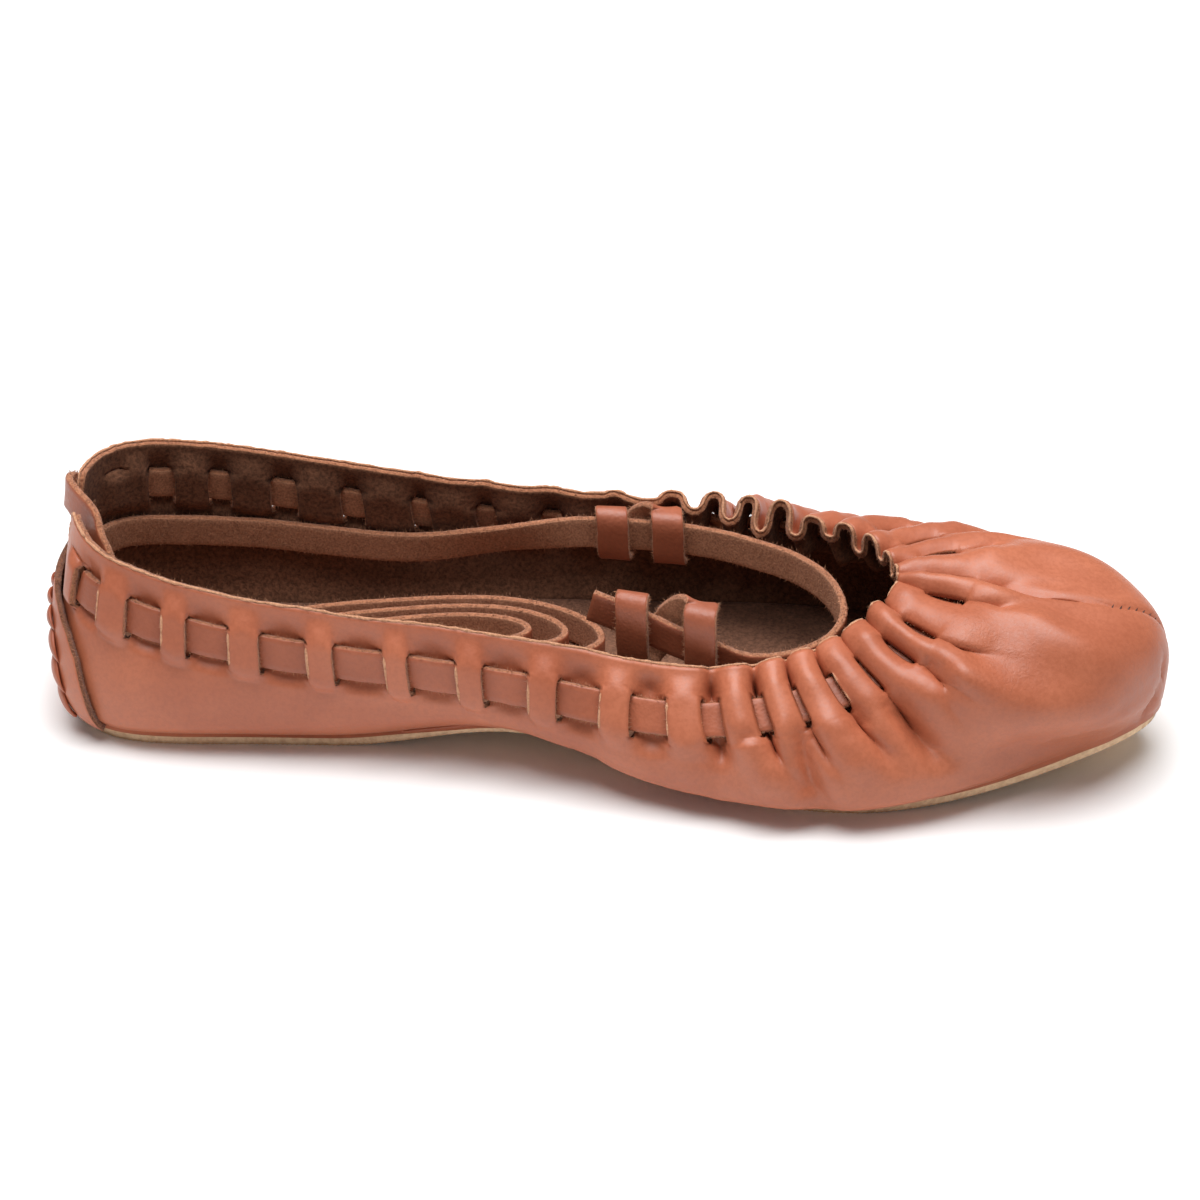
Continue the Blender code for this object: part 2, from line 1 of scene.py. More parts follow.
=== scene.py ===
"""Looks of a left dance shoe: soft leather gathered by a flat strap, suede inside, crepe outsole.

Shapes are worked out in millimetres on the shoe's own last, and moved into the frame as meshes are made.
X runs from the heel to the toe, +Y is the outer side of the foot, and Z is up from the floor.
"""
import math
from collections import namedtuple

import bmesh
import bpy
import numpy as np
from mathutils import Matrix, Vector, noise


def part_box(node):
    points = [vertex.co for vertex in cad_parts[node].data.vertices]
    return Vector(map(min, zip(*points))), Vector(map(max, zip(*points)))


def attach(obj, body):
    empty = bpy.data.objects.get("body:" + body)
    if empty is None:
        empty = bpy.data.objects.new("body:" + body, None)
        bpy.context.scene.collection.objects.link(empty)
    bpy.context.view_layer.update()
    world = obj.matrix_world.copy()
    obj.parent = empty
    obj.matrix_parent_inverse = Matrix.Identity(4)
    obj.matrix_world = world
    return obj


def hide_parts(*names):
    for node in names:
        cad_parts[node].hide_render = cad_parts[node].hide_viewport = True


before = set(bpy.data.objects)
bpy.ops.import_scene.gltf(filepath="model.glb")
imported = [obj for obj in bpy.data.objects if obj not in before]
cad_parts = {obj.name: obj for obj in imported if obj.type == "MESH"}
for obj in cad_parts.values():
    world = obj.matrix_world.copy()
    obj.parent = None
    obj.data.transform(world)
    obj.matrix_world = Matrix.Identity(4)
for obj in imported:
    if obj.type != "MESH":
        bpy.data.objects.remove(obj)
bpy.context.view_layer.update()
BODY = "root"
MM = 0.001
RANDOM = np.random.default_rng(11)
SHORTEST = 1e-6

# Materials of a piece of leather, in the order of its slots
GRAIN, FLESH, CUT = range(3)

# Sheet thicknesses and clearances
LEATHER = 1.7
COUNTER_LEATHER = 1.6
THONG = 1.2
OUTSOLE = 3.0
INSOLE = 1.5
GAP = 0.35

# Flat strap that gathers the upper
STRAP_WIDTH = 7.5
STRAP_THICK = 1.7
STRAP_STEP = 1.1
STRAP_END_GAP = 1.4
STRAP_END_RUN = 2.4
STRAP_WEAVE = 0.3
STRAP_CORNER = 0.42
STRAP_BEVEL = (0.12, 0.15)
STRAP_UNDERCUT = (0.05, 0.1)
STRAP_FLESH_INSET = 0.3
STRAP_FACE_POINTS = 8
STRAP_WORN_EDGE = 0.3
NAP_ROWS = (-0.36, -0.12, 0.12, 0.36)
NAP_SPREAD = 1.8
NAP_DEPTH = 0.45

# Unevenness of surfaces: the size of its features, how far it moves them, and a seed
Uneven = namedtuple("Uneven", "size depth seed")
NOISE_SHIFT = (1.0, 3.7, 1.9)
CLOUDS = Uneven(13.0, 0.25, 0.0)
DENTS = Uneven(3.6, 0.6, 7.0)
RIM_FRAY = Uneven(1.1, 0.22, 5.0)
RIM_WANDER = 0.45
STRAP_WOBBLE = Uneven(6.0, 0.1, 0.0)
STRAP_FRAY = Uneven(0.9, 0.13, 2.0)
COUNTER_LUMPS = Uneven(9.0, 0.12, 8.0)
INSOLE_LUMPS = Uneven(16.0, 0.12, 4.0)

# Step in the edge of the outsole's top. The leather comes down over it, most at the inner arch.
SOLE_STEP = 0.4
SOLE_STEP_INSET = 1.7
ARCH_COVER = 0.9
COVER_START = 74.0
COVER_END = 168.0
COVER_RAMP = 18.0
COVER_SIDE = 15.0

# Lowest rows of the wall, which are filled out above the sole
FOOT_FILL = 0.6
FOOT_FILL_MOST = 0.75
FOOT_REACH = 14.0

# Underside of the sole: flat at the heel and under the ball, lifted at the arch and the toe
ARCH_START = 62.0
ARCH_END = 148.0
ARCH_RISE = 4.2
ARCH_INNER_BIAS = 0.0153
TOE_START = 178.0
TOE_REACH = 70.0
TOE_SPRING = 9.5
TOE_CURVE = 1.7
OUTSOLE_MARGIN = 0.6
INSOLE_INSET = 1.1
INSOLE_STEP = 1.6
INSOLE_BULGE = (-0.25, 0.0, -0.1)
FEATHER_LIFT = 1.15

# Row of slits below the collar, measured down the wall from the rim
SLIT_TOP = 5.8
SLIT_BOTTOM = 17.4
SLIT_RAMP = 1.6
SOFT_RAMP_TOP = 4.5
SOFT_RAMP_BOTTOM = 1.8
RUFFLE_RAMP = 2.2
BOW_EDGE = 3
SLIT_GAP = 0.45
STRAP_DROP = 11.25
BOW = 0.5 * LEATHER + GAP + 0.5 * STRAP_THICK - STRAP_WEAVE
WINDOWS_EACH_SIDE = 17
HEEL_BOW_END = 0.2
HEEL_BOW_RAMP = 0.15
SEAT_GAP = 0.08

# Dip in the rim at the back of the heel, where one end of the strap goes inside
NOTCH_TURN = 0.012
NOTCH_HALF_FLAT = 0.010
NOTCH_SHOULDER = 0.010
NOTCH_DEPTH = 8.8

# Sections around the last. turn is 0 at the back of the heel, 0.25 on the inner side,
# 0.5 at the toe and 0.75 on the outer side. foot is where the wall meets the sole.
# rise and crown are the wall's tangents at the sole and at the collar: outward and upward.
Section = namedtuple("Section", "name turn foot_x foot_y rise_out rise_up crown_out crown_up "
                                "collar_x collar_y collar_z")
SECTIONS = [
    Section("heel_back", 0.000, 5, 0, 8, 12, 2, -18, 4, 0, 51),
    Section("heel_inner", 0.055, 9, -22, 9, 8, 2, -16, 10, -18, 47),
    Section("quarter_inner", 0.130, 40, -25.5, 12, 5.5, 2, -13, 40, -26, 40),
    Section("waist_inner", 0.220, 85, -22.5, 12, 5, 3, -11, 82, -28, 36.5),
    Section("arch_inner", 0.290, 120, -24.5, 19, 1.5, 4, -10, 116, -30, 34),
    Section("ball_inner", 0.360, 158, -35.5, 21, 1.5, 8, -9, 146, -31, 31),
    Section("joint_inner", 0.420, 195, -34.5, 18, 6, 12, -3, 171, -24, 33.5),
    Section("toe_inner", 0.465, 229, -19.5, 11, 17, 26, 0, 184, -13, 38),
    Section("toe_tip", 0.500, 245, -4, 8, 28, 41, 0, 187, -4, 40),
    Section("toe_outer", 0.535, 230, 15, 11, 23, 31, -1, 182, 7, 39.5),
    Section("joint_outer", 0.580, 200, 32, 13, 14, 13, -2, 170, 17.5, 38),
    Section("ball_outer", 0.640, 160, 39, 14, 9, 8, -7, 146, 27, 36.5),
    Section("arch_outer", 0.710, 120, 34, 11, 8, 4, -11, 116, 30, 36.5),
    Section("waist_outer", 0.780, 85, 30, 6, 11, 3, -13, 82, 29, 39),
    Section("quarter_outer", 0.870, 40, 27, 5, 13, 2, -15, 40, 27, 45),
    Section("heel_outer", 0.945, 10, 19, 5, 14, 2, -16, 10, 18, 50),
]

# Windows between slits, counted from the middle of the throat towards the heel.
# place_inner and place_outer are distances along the strap on each side of the foot.
# ruffle is how far the gathered leather swings in and out at the strap, and sink is how far the strap
# lies inside the wall. rim_inner and rim_outer are the swing at the rim, on each side of the foot.
# top, bottom and the two rim widths are the width of a window's ends, and of the leather above it at
# the rim, as shares of its opening.
# pit is how much deeper the leather is drawn in just above the strap.
Gather = namedtuple("Gather", "window place_inner place_outer opening ruffle sink rim_inner rim_outer "
                              "top bottom rim_width_inner rim_width_outer pit")
GATHERS = [
    Gather(0, 0, 0, 2.4, 2.2, 2.4, 1.5, 1.6, 0.25, 0.25, 1.0, 1.6, 0.6),
    Gather(1, 7, 10.5, 2.6, 2.4, 2.4, 1.5, 2.0, 0.25, 0.25, 1.0, 1.6, 0.6),
    Gather(2, 18.5, 19, 2.2, 2.6, 3.0, 1.4, 2.3, 0.25, 0.25, 1.0, 1.6, 0.8),
    Gather(3, 25, 28.5, 2.2, 2.8, 3.0, 1.3, 2.6, 0.25, 0.25, 1.0, 1.6, 1.0),
    Gather(4, 33.2, 38, 1.6, 2.8, 2.4, 1.2, 2.8, 0.9, 0.6, 1.4, 2.4, 2.0),
    Gather(5, 41.3, 48, 2.4, 2.8, 1.4, 1.2, 3.0, 1.2, 0.6, 1.2, 1.7, 3.2),
    Gather(6, 49.5, 58, 2.0, 2.6, 1.1, 1.2, 3.0, 1.4, 0.7, 1.4, 2.0, 3.4),
    Gather(7, 58, 67, 3.4, 2.0, 0.7, 1.2, 2.5, 1.2, 0.8, 1.2, 1.3, 3.4),
    Gather(8, 68.5, 77, 4.8, 1.4, 0.4, 1.0, 1.8, 1.1, 0.9, 1.1, 1.0, 2.4),
    Gather(9, 82.5, 90, 8.2, 0.8, 0.1, 0.6, 1.2, 1.0, 1.0, 1.0, 1.0, 1.0),
    Gather(10, 98, 104, 9.6, 0.4, -0.1, 0.3, 0.5, 1.0, 1.0, 1.0, 1.0, 0.5),
    Gather(13, 147, 150, 11.5, 0, -0.1, 0, 0, 1.0, 1.0, 1.0, 1.0, 0.3),
    Gather(15, 181, 182, 9.5, 0, -0.1, 0, 0, 1.0, 1.0, 1.0, 1.0, 0.2),
    Gather(17, 210, 210, 7.0, 0, 0, 0, 0, 1.0, 1.0, 1.0, 1.0, 0.0),
]
PLEAT_STRENGTH = (0.6, 1.4)
RIM_STRENGTH = (0.5, 1.4)
PLEAT_REACH = (12.0, 26.0)
PLEAT_SKEW = 0.7
PIT_DROP = 4.8
PIT_WIDTH = 2.5
MEANDER = 0.25
PINCH_FADE = 16.0
PINCH_ROUND = 0.6
SPREAD_SHARE = 0.5

# Soft creases and folds of the leather, placed one by one. Each runs through places on the wall.
# height is below 0 for a trough and above 0 for a ridge. width is half its breadth.
Crease = namedtuple("Crease", "name height width places")
CREASE_FAN = (0.85, 1.35)
CREASE_START = 0.28
CREASE_END = 0.4
CREASE_STEP = 0.6
CREASE_REACH = 3
CREASES = [
    Crease("ball_fold", -4.0, 2.8, [(0.3985, 12), (0.3975, 16), (0.3950, 22), (0.3900, 33), (0.3880, 40)]),
    Crease("ball_ridge", 1.8, 3.4, [(0.4050, 11), (0.4045, 16), (0.4030, 26), (0.4000, 36)]),
    Crease("ball_roll", 1.2, 3.2, [(0.3935, 11), (0.3920, 15), (0.3885, 22), (0.3830, 32)]),
    Crease("knuckle", 0.7, 3.2, [(0.3780, 12), (0.3815, 20), (0.3860, 30)]),
    Crease("window_pit", -1.6, 2.0, [(0.3788, 14), (0.3780, 18)]),
    Crease("instep_fold", -1.8, 3.6, [(0.3670, 12), (0.3640, 17), (0.3575, 25), (0.3540, 34)]),
    Crease("joint_bulge", 1.1, 3.6, [(0.4140, 13), (0.4125, 21), (0.4100, 34)]),
    Crease("joint_fold", -1.7, 2.2, [(0.4180, 14), (0.4185, 23)]),
    Crease("vamp_fold", -3.4, 3.2, [(0.4340, 15), (0.4313, 19), (0.4300, 25), (0.4300, 32), (0.4320, 43)]),
    Crease("vamp_roll", 1.2, 3.4, [(0.4455, 16), (0.4475, 28), (0.4487, 34), (0.4550, 45)]),
    Crease("toe_shoulder", 5.2, 7.5, [(0.4520, 12), (0.4560, 23), (0.4580, 31), (0.4615, 39), (0.4680, 49),
                                      (0.4770, 61), (0.4870, 75)]),
    Crease("vamp_side", -2.2, 5.0, [(0.4270, 37), (0.4375, 43), (0.4463, 46), (0.4550, 52), (0.4650, 60),
                                    (0.4750, 69)]),
    Crease("side_fold", -1.8, 2.4, [(0.4520, 17), (0.4580, 25)]),
    Crease("toe_hollow", -1.5, 5.0, [(0.4800, 20), (0.4760, 26), (0.4720, 32), (0.4675, 40), (0.4662, 50)]),
    Crease("toe_ridge", 2.1, 3.8, [(0.4950, 13), (0.4913, 29), (0.4863, 40), (0.4838, 49), (0.4800, 62)]),
    Crease("outer_ridge", 1.3, 4.6, [(0.5050, 17), (0.5100, 27), (0.5112, 38), (0.5100, 46), (0.5080, 57)]),
    Crease("outer_fold", -1.6, 3.0, [(0.530, 18), (0.532, 30), (0.530, 42)]),
    Crease("outer_vamp_fold", -2.2, 3.0, [(0.566, 17), (0.572, 28), (0.570, 40)]),
    Crease("outer_joint_fold", -2.0, 2.6, [(0.603, 17), (0.612, 30)]),
    Crease("outer_ball_fold", -1.8, 2.8, [(0.634, 16), (0.646, 30)]),
    Crease("toe_tuck", -1.0, 1.0, [(0.4835, 77), (0.4850, 71), (0.4913, 68), (0.4938, 65), (0.4970, 61)]),
    Crease("tuck_roll", 0.6, 1.8, [(0.4875, 77), (0.4905, 73), (0.4955, 69)]),
]

# Patches of fine wrinkles in the grain: a place on the wall, how far it reaches and how strong it is
Wrinkle = namedtuple("Wrinkle", "name turn drop reach strength")
BAND_WRINKLE = 0.4
WRINKLES = [
    Wrinkle("toe_hollow", 0.4690, 32, 9.0, 1.0),
    Wrinkle("throat_inner", 0.4790, 22, 6.0, 0.7),
    Wrinkle("throat_outer", 0.5120, 20, 6.0, 0.5),
    Wrinkle("vamp_fold", 0.4310, 26, 5.0, 0.5),
    Wrinkle("joint", 0.4180, 20, 5.0, 0.5),
    Wrinkle("ball", 0.3960, 20, 5.0, 0.5),
    Wrinkle("instep", 0.3640, 18, 6.0, 0.4),
    Wrinkle("outer_vamp", 0.5700, 26, 8.0, 0.6),
]

# Seam down the middle of the toe, where the leather is folded in and sewn
SEAM_TURNS = [0.5, 0.4985, 0.4980, 0.4978, 0.4985, 0.5020, 0.5020]
SEAM_DROPS = [14, 21, 29, 37, 48, 60, 80]
SEAM_START = 15.0
SEAM_NARROW = 38.0
SEAM_TAPER = 0.25
SEAM_DEPTH = (3.2, 1.2)
SEAM_WIDTH = (3.4, 0.9)
STITCH_FIRST = 47.0
STITCH_PITCH = 1.9
STITCH_COUNT = 8
STITCH_HALF = 0.8
STITCH_SLANT = 0.25
STITCH_RADIUS = 0.17
STITCH_TIP = 0.1
STITCH_BLUNT = 6
STITCH_LIFT = 0.35
STITCH_HOOK = 0.45

# Edge of the counter: height up the heel from its lower edge, and half its arc there
CounterEdge = namedtuple("CounterEdge", "height half_arc")
COUNTER_EDGE = [
    CounterEdge(0, 33),
    CounterEdge(9, 31),
    CounterEdge(16, 28.5),
    CounterEdge(20.5, 25),
    CounterEdge(24, 19.5),
    CounterEdge(26.5, 11),
]
COUNTER_BOTTOM = 1.6
COUNTER_ARC_DROP = 30.0
COUNTER_REACH = 0.2
COUNTER_BORDER = 0.12
COUNTER_BORDER_EDGE = 16
COUNTER_FOLD = 0.4
COUNTER_WRINKLE = 0.5
COUNTER_OUT = 0.5 * LEATHER + 2 * GAP + 0.5 * COUNTER_LEATHER

# Thong laced through the counter, from one lower corner over the top to the other
THONG_ROUTE = [
    CounterEdge(1.5, 24.5),
    CounterEdge(10, 22.5),
    CounterEdge(16.5, 19.5),
    CounterEdge(20.5, 13),
    CounterEdge(21.5, 0),
]
THONG_WIDTH = 3.4
THONG_STITCHES = 12
THONG_OVERLAP = 1.45
THONG_SLANT = 1.3
THONG_STEP = 0.5
THONG_TIP = 0.02
THONG_ROUNDNESS = 0.55
THONG_LIFT = 1.5
THONG_DIVE = 0.45
THONG_SEAT = 0.55
THONG_TWIST = 0.7

# Routes of the strap's two ends, on the wall: turn, distance below the rim, distance outward
OnWall = namedtuple("OnWall", "turn drop out")
FRONT_END_HEEL = [
    OnWall(0.040, 11.6, -0.3),
    OnWall(0.029, 12.4, -2.7),
    OnWall(0.015, 15.5, -2.9),
    OnWall(-0.002, 19, -2.7),
    OnWall(-0.022, 21.7, -2.5),
    OnWall(-0.060, 23.2, -2.5),
    OnWall(-0.120, 22.3, -2.7),
    OnWall(-0.160, 21, -3.4),
    OnWall(-0.200, 18.8, -4.8),
    OnWall(-0.245, 11.0, -6.2),
]
FRONT_END_TURN = [
    (112.0, 24.8, 29.4),
    (122.0, 24.8, 29.8),
    (134.0, 25.0, 29.4),
    (146.0, 23.0, 29.2),
    (155.0, 19.4, 29.2),
    (163.5, 14.6, 29.4),
    (170.6, 7.0, 29.6),
    (174.8, -2.5, 29.3),
    (175.2, -10.5, 28.6),
    (171.5, -17.0, 27.4),
    (163.5, -21.0, 26.0),
    (154.5, -22.8, 26.4),
    (147.0, -22.4, 29.2),
    (140.0, -20.8, 30.8),
    (133.5, -19.2, 32.8),
    (126.0, -17.6, 35.0),
    (120.5, -16.6, 36.4),
]
REAR_END_HEEL = [
    OnWall(-0.045, 11.3, 0.3),
    OnWall(-0.034, 10.7, 2.26),
    OnWall(-0.021, 8.0, 2.5),
    OnWall(-0.008, 4.6, 2.5),
    OnWall(0.003, 2.7, 2.0),
    OnWall(0.013, 2.5, -0.3),
    OnWall(0.026, 4.0, -4.0),
    OnWall(0.045, 6.2, -5.0),
    OnWall(0.070, 9.8, -5.4),
    OnWall(0.100, 14.5, -5.6),
]
REAR_END_DIVE = [
    (47.0, -17.5, 16.5),
    (57.0, -16.5, 12.6),
    (66.0, -15.3, 10.9),
]

# Oval coil of spare strap on the insole
COIL_CENTRE = (80.0, 2.5)
COIL_HALF_LENGTH = (43.0, 20.0)
COIL_HALF_WIDTH = (17.0, 6.0)
COIL_START = 1.45
COIL_END = 6.0 * math.pi
COIL_STEPS_PER_TURN = 20

# Short wraps wound round the front end, each about a straight axis from its rear to its front
Wrap = namedtuple("Wrap", "rear front half_depth half_height")
INNER_WRAP = Wrap((129.8, -18.4, 32.5), (147.4, -22.5, 32.0), 3.4, 8.5)
OUTER_WRAP = Wrap((120.4, 24.6, 30.4), (135.0, 24.8, 29.8), 3.2, 5.8)
WRAP_TURNS = 1.5
WRAP_STEPS_PER_TURN = 48
WRAP_ROUNDNESS = 0.62
WRAP_SHIFT = (1.2 * math.pi, 2.0 * math.pi)
WRAP_UPRIGHT = 0.6
WRAP_STRAP_WIDTH = 7.2

# Mesh resolution, and how finely lines are measured
PROFILE_SAMPLES = 61
STRAP_SAMPLES = 721
HEEL_SAMPLES = 161
BOX_SAMPLES = 2001
SOLE_SAMPLES = 801
EVEN_SAMPLES = 4001
CURVE_STEPS = 24
ROW_CROWDING = 1.12
FRONT_WINDOWS = 6
FRONT_TAB_COLUMNS = 8
FRONT_BAR_COLUMNS = 10
TAB_COLUMNS = 6
BAR_COLUMNS = 7
HEEL_COLUMNS = 44
RIM_ROWS = 7
SLIT_ROWS = 13
SLIT_SHUT_TOP = 3
SLIT_SHUT_BOTTOM = 3
BODY_ROWS = 48
COUNTER_ROWS = 44
COUNTER_ACROSS = 84
SOLE_POINTS_PER_MM = 3.0
SOLE_ACROSS = 14
SOLE_WELD = 0.01

# Serrated edge of the outsole: rows from its step down, as shares of the height there.
# out is how far a row stands out, and rib is the share of the ribs' depth that is added to that.
SoleRow = namedtuple("SoleRow", "height out rib")
SOLE_ROWS = [
    SoleRow(1.0, -0.15, 0.0),
    SoleRow(0.92, 0.0, 0.0),
    SoleRow(0.54, 0.1, 0.0),
    SoleRow(0.29, 0.0, -0.6),
    SoleRow(0.0, -0.1, -1.0),
]
RIB_PITCH = 1.05
RIB_DEPTH = 0.22

# Loose fibres on the cut edges
FIBRES_PER_MM = 6.0
FIBRE_LENGTH = (0.45, 1.35)
FIBRE_THICK = 0.13
FIBRE_LEAN = 0.7
FIBRE_ROOT = 0.1
FIBRE_SIDES = 3

# Raised raw edge of the cut leather, at the corner of its outer face. Its pale colour is partly the raw
# fibre's own and partly painted light, and at the slits it runs only along the lit edges that face the heel
BEAD_RADIUS = 0.3
BEAD_SIDES = 6
BEAD_UNEVEN = (0.7, 1.4)
BEAD_TIP = 0.4
BEAD_ASIDE = (0.3, 0.5, 0.8)
BEAD_OUT = 0.62
RIM_BEAD_RISE = 0.25

# Camera, as on the shoe's last
CAMERA_AZIMUTH = 6.0
CAMERA_ELEVATION = 33.0
CAMERA_DISTANCE = 800.0
CAMERA_TARGET = (125.0, 0.0, 20.0)
CAMERA_LENS = 106.8
CAMERA_SHIFT = (-0.0158, 0.0233)

# Floor, sky and light, in metres and watts
FLOOR_HALF = 3.0
FLOOR_COLOUR = (0.93, 0.93, 0.93, 1)
SKY_COLOUR = (1.0, 1.0, 1.0, 1)
SKY_STRENGTH = 0.19
LIGHT_PLACE = (-0.05, 0.05, 1.15)
LIGHT_TARGET = (0, 0, 0)
LIGHT_SIZE = (1.1, 1.0)
LIGHT_POWER = 23.0

# Colours of the materials: light, middle and dark for grain leather, light and dark for the others
TAN_TONES = ((0.51, 0.153, 0.074), (0.43, 0.119, 0.055), (0.19, 0.045, 0.020))
STRAP_TONES = ((0.43, 0.122, 0.058), (0.34, 0.092, 0.043), (0.17, 0.040, 0.018))
FLESH_TONES = ((0.28, 0.125, 0.07), (0.11, 0.048, 0.028))
# Flesh side of the strap: its own paler tan, made lighter still as painted light on the upright loop
STRAP_FLESH_LIT_TONES = ((0.66, 0.32, 0.19), (0.36, 0.16, 0.09))
EDGE_TONES = ((0.60, 0.25, 0.125), (0.27, 0.09, 0.045))
FIBRE_TONES = ((0.72, 0.33, 0.17), (0.45, 0.17, 0.08))
LIT_RAW_EDGE_TONES = ((0.80, 0.42, 0.24), (0.50, 0.21, 0.11))
COUNTER_EDGE_TONES = ((0.34, 0.135, 0.068), (0.13, 0.052, 0.03))
THREAD_TONES = ((0.10, 0.035, 0.02), (0.05, 0.018, 0.012))
CREPE_TONES = ((0.92, 0.66, 0.42), (0.76, 0.50, 0.30))
INSOLE_TONES = ((0.30, 0.140, 0.085), (0.14, 0.066, 0.042))
STRAP_PEBBLE = 0.2
STRAP_NAP_SCALE = 1900

# Sockets of a mix node that take and give colours
MIX_COLOURS = (6, 7)
MIX_RESULT = 2


def loop_spline(turns, values):
    """Smooth closed curve through the values, as a function of the turn around the shoe."""
    values = np.asarray(values, float)
    count = len(turns)
    after = steps = np.diff(np.append(turns, turns[0] + 1))
    before = np.roll(steps, 1)
    slopes = np.diff(np.append(values, values[0])) / steps
    matrix = (np.diag(2 * (before + after)) + np.roll(np.diag(before), -1, axis=1)
              + np.roll(np.diag(after), 1, axis=1))
    bends = np.linalg.solve(matrix, 6 * (slopes - np.roll(slopes, 1)))

    def at(turn):
        turn = np.mod(np.asarray(turn, float) - turns[0], 1) + turns[0]
        i = np.clip(np.searchsorted(turns, turn, side="right") - 1, 0, count - 1)
        j = (i + 1) % count
        b = (turn - np.asarray(turns)[i]) / steps[i]
        a = 1 - b
        bend = ((a ** 3 - a) * bends[i] + (b ** 3 - b) * bends[j]) * steps[i] ** 2 / 6
        return a * values[i] + b * values[j] + bend

    return at


TURNS = [section.turn for section in SECTIONS]
AROUND = {
    field: loop_spline(TURNS, [getattr(section, field) for section in SECTIONS])
    for field in Section._fields[2:]
}


def smoothstep(x):
    x = np.clip(x, 0, 1)
    return x * x * (3 - 2 * x)


def mix(a, b, share):
    return a + (b - a) * share


def unit(vectors):
    """Vectors at a length of 1. Those of almost no length stay short."""
    return vectors / np.maximum(np.linalg.norm(vectors, axis=-1, keepdims=True), SHORTEST)


def sole_lift(x, y):
    """Height of the outsole's underside above the floor."""
    along = np.clip((x - ARCH_START) / (ARCH_END - ARCH_START), 0, 1)
    arch = ARCH_RISE * np.sin(math.pi * along) ** 2 * (1 - ARCH_INNER_BIAS * y)
    toe = TOE_SPRING * np.clip((x - TOE_START) / TOE_REACH, 0, None) ** TOE_CURVE
    return arch + toe


def sole_step(x, y):
    """How far the leather comes down over the outsole's edge: most at the inner arch."""
    along = smoothstep((x - COVER_START) / COVER_RAMP) * smoothstep((COVER_END - x) / COVER_RAMP)
    return SOLE_STEP + ARCH_COVER * along * smoothstep(-y / COVER_SIDE)


def foot_line(turn):
    """Where the wall meets the sole, and the outward direction there, both in plan."""
    turn = np.asarray(turn, float)
    place = np.stack([AROUND["foot_x"](turn), AROUND["foot_y"](turn)], -1)
    step = 1e-4
    dx = AROUND["foot_x"](turn + step) - AROUND["foot_x"](turn - step)
    dy = AROUND["foot_y"](turn + step) - AROUND["foot_y"](turn - step)
    outward = np.stack([dy, -dx], -1) / np.hypot(dx, dy)[..., None]
    return place, outward


def wall_profiles(turn):
    """Points down the wall from the collar to the sole, one profile for each turn."""
    place, outward = foot_line(turn)
    x, y = place[:, 0], place[:, 1]
    foot = np.stack([x, y, sole_lift(x, y) + OUTSOLE + FEATHER_LIFT], -1)
    collar = np.stack([AROUND[name](turn) for name in ("collar_x", "collar_y", "collar_z")], -1)

    def tangent(out, up):
        return np.column_stack([outward * AROUND[out](turn)[:, None], AROUND[up](turn)])

    rise = foot + tangent("rise_out", "rise_up")
    crown = collar + tangent("crown_out", "crown_up")
    v = np.linspace(0, 1, PROFILE_SAMPLES)[None, :, None]
    collar, crown, rise, foot = (p[:, None, :] for p in (collar, crown, rise, foot))
    return (1 - v) ** 3 * collar + 3 * v * (1 - v) ** 2 * crown + 3 * v * v * (1 - v) * rise + v ** 3 * foot


def down_profiles(profiles):
    """Distance down each profile from the collar."""
    lengths = np.linalg.norm(np.diff(profiles, axis=1), axis=2)
    return np.pad(np.cumsum(lengths, axis=1), ((0, 0), (1, 0)))


def wall_length(turn):
    return down_profiles(wall_profiles(np.atleast_1d(turn)))[:, -1]


def wall_middle(turn, drop):
    """Middle of the wall's thickness, at a distance below the collar. A negative drop is above it."""
    profiles = wall_profiles(turn)
    down = down_profiles(profiles)
    index = np.clip((down <= drop[:, None]).sum(axis=1) - 1, 0, PROFILE_SAMPLES - 2)
    each = np.arange(len(turn))
    start, end = profiles[each, index], profiles[each, index + 1]
    share = (drop - down[each, index]) / (down[each, index + 1] - down[each, index])
    return start + (end - start) * share[:, None]


def on_wall(turn, drop, out=0.0):
    """Point at a turn around the shoe, a distance below the rim and a distance out of the wall."""
    turn, drop, out = (a.astype(float) for a in np.broadcast_arrays(turn, drop, out))
    shape = turn.shape
    turn, drop, out = turn.ravel(), drop.ravel(), out.ravel()
    middle = wall_middle(turn, drop)
    turn_step, drop_step = 5e-4, 0.4
    inside = np.clip(drop, drop_step, wall_length(turn) - drop_step)
    along = wall_middle(turn + turn_step, inside) - wall_middle(turn - turn_step, inside)
    down = wall_middle(turn, inside + drop_step) - wall_middle(turn, inside - drop_step)
    normal = unit(np.cross(down, along))
    return (middle + normal * out[:, None]).reshape(shape + (3,))


def line_length(points):
    """Running length along a line of points."""
    return np.append(0, np.cumsum(np.linalg.norm(np.diff(points, axis=0), axis=1)))


def along_line(at, length, values):
    """Columns of values at distances along a line that has them at its running lengths."""
    return np.column_stack([np.interp(at, length, column) for column in values.T])


STRAP_TURNS = np.linspace(0, 1, STRAP_SAMPLES)
STRAP_LINE = line_length(on_wall(STRAP_TURNS, STRAP_DROP))
STRAP_LINE -= np.interp(0.5, STRAP_TURNS, STRAP_LINE)


def strap_turn(distance):
    """Turn at a distance along the strap from the middle of the throat, negative on the inner side."""
    return np.interp(distance, STRAP_LINE, STRAP_TURNS)


def gather(window, field):
    """Value of a column of the table of windows. Inner windows have negative numbers."""
    keys = [row.window for row in GATHERS]
    return float(np.interp(abs(window), keys, [getattr(row, field) for row in GATHERS]))


def side_gather(window, field):
    """Value of a column that the table has for each side of the foot."""
    return gather(window, field + ("_inner" if window < 0 else "_outer"))


def window_place(window):
    """Distance of a window's middle along the strap."""
    return math.copysign(side_gather(window, "place"), window)


STRAP_REACH = window_place(WINDOWS_EACH_SIDE) + 0.5 * gather(WINDOWS_EACH_SIDE, "opening")


def sole_edge(turn, margin):
    place, outward = foot_line(turn)
    return place + outward * margin


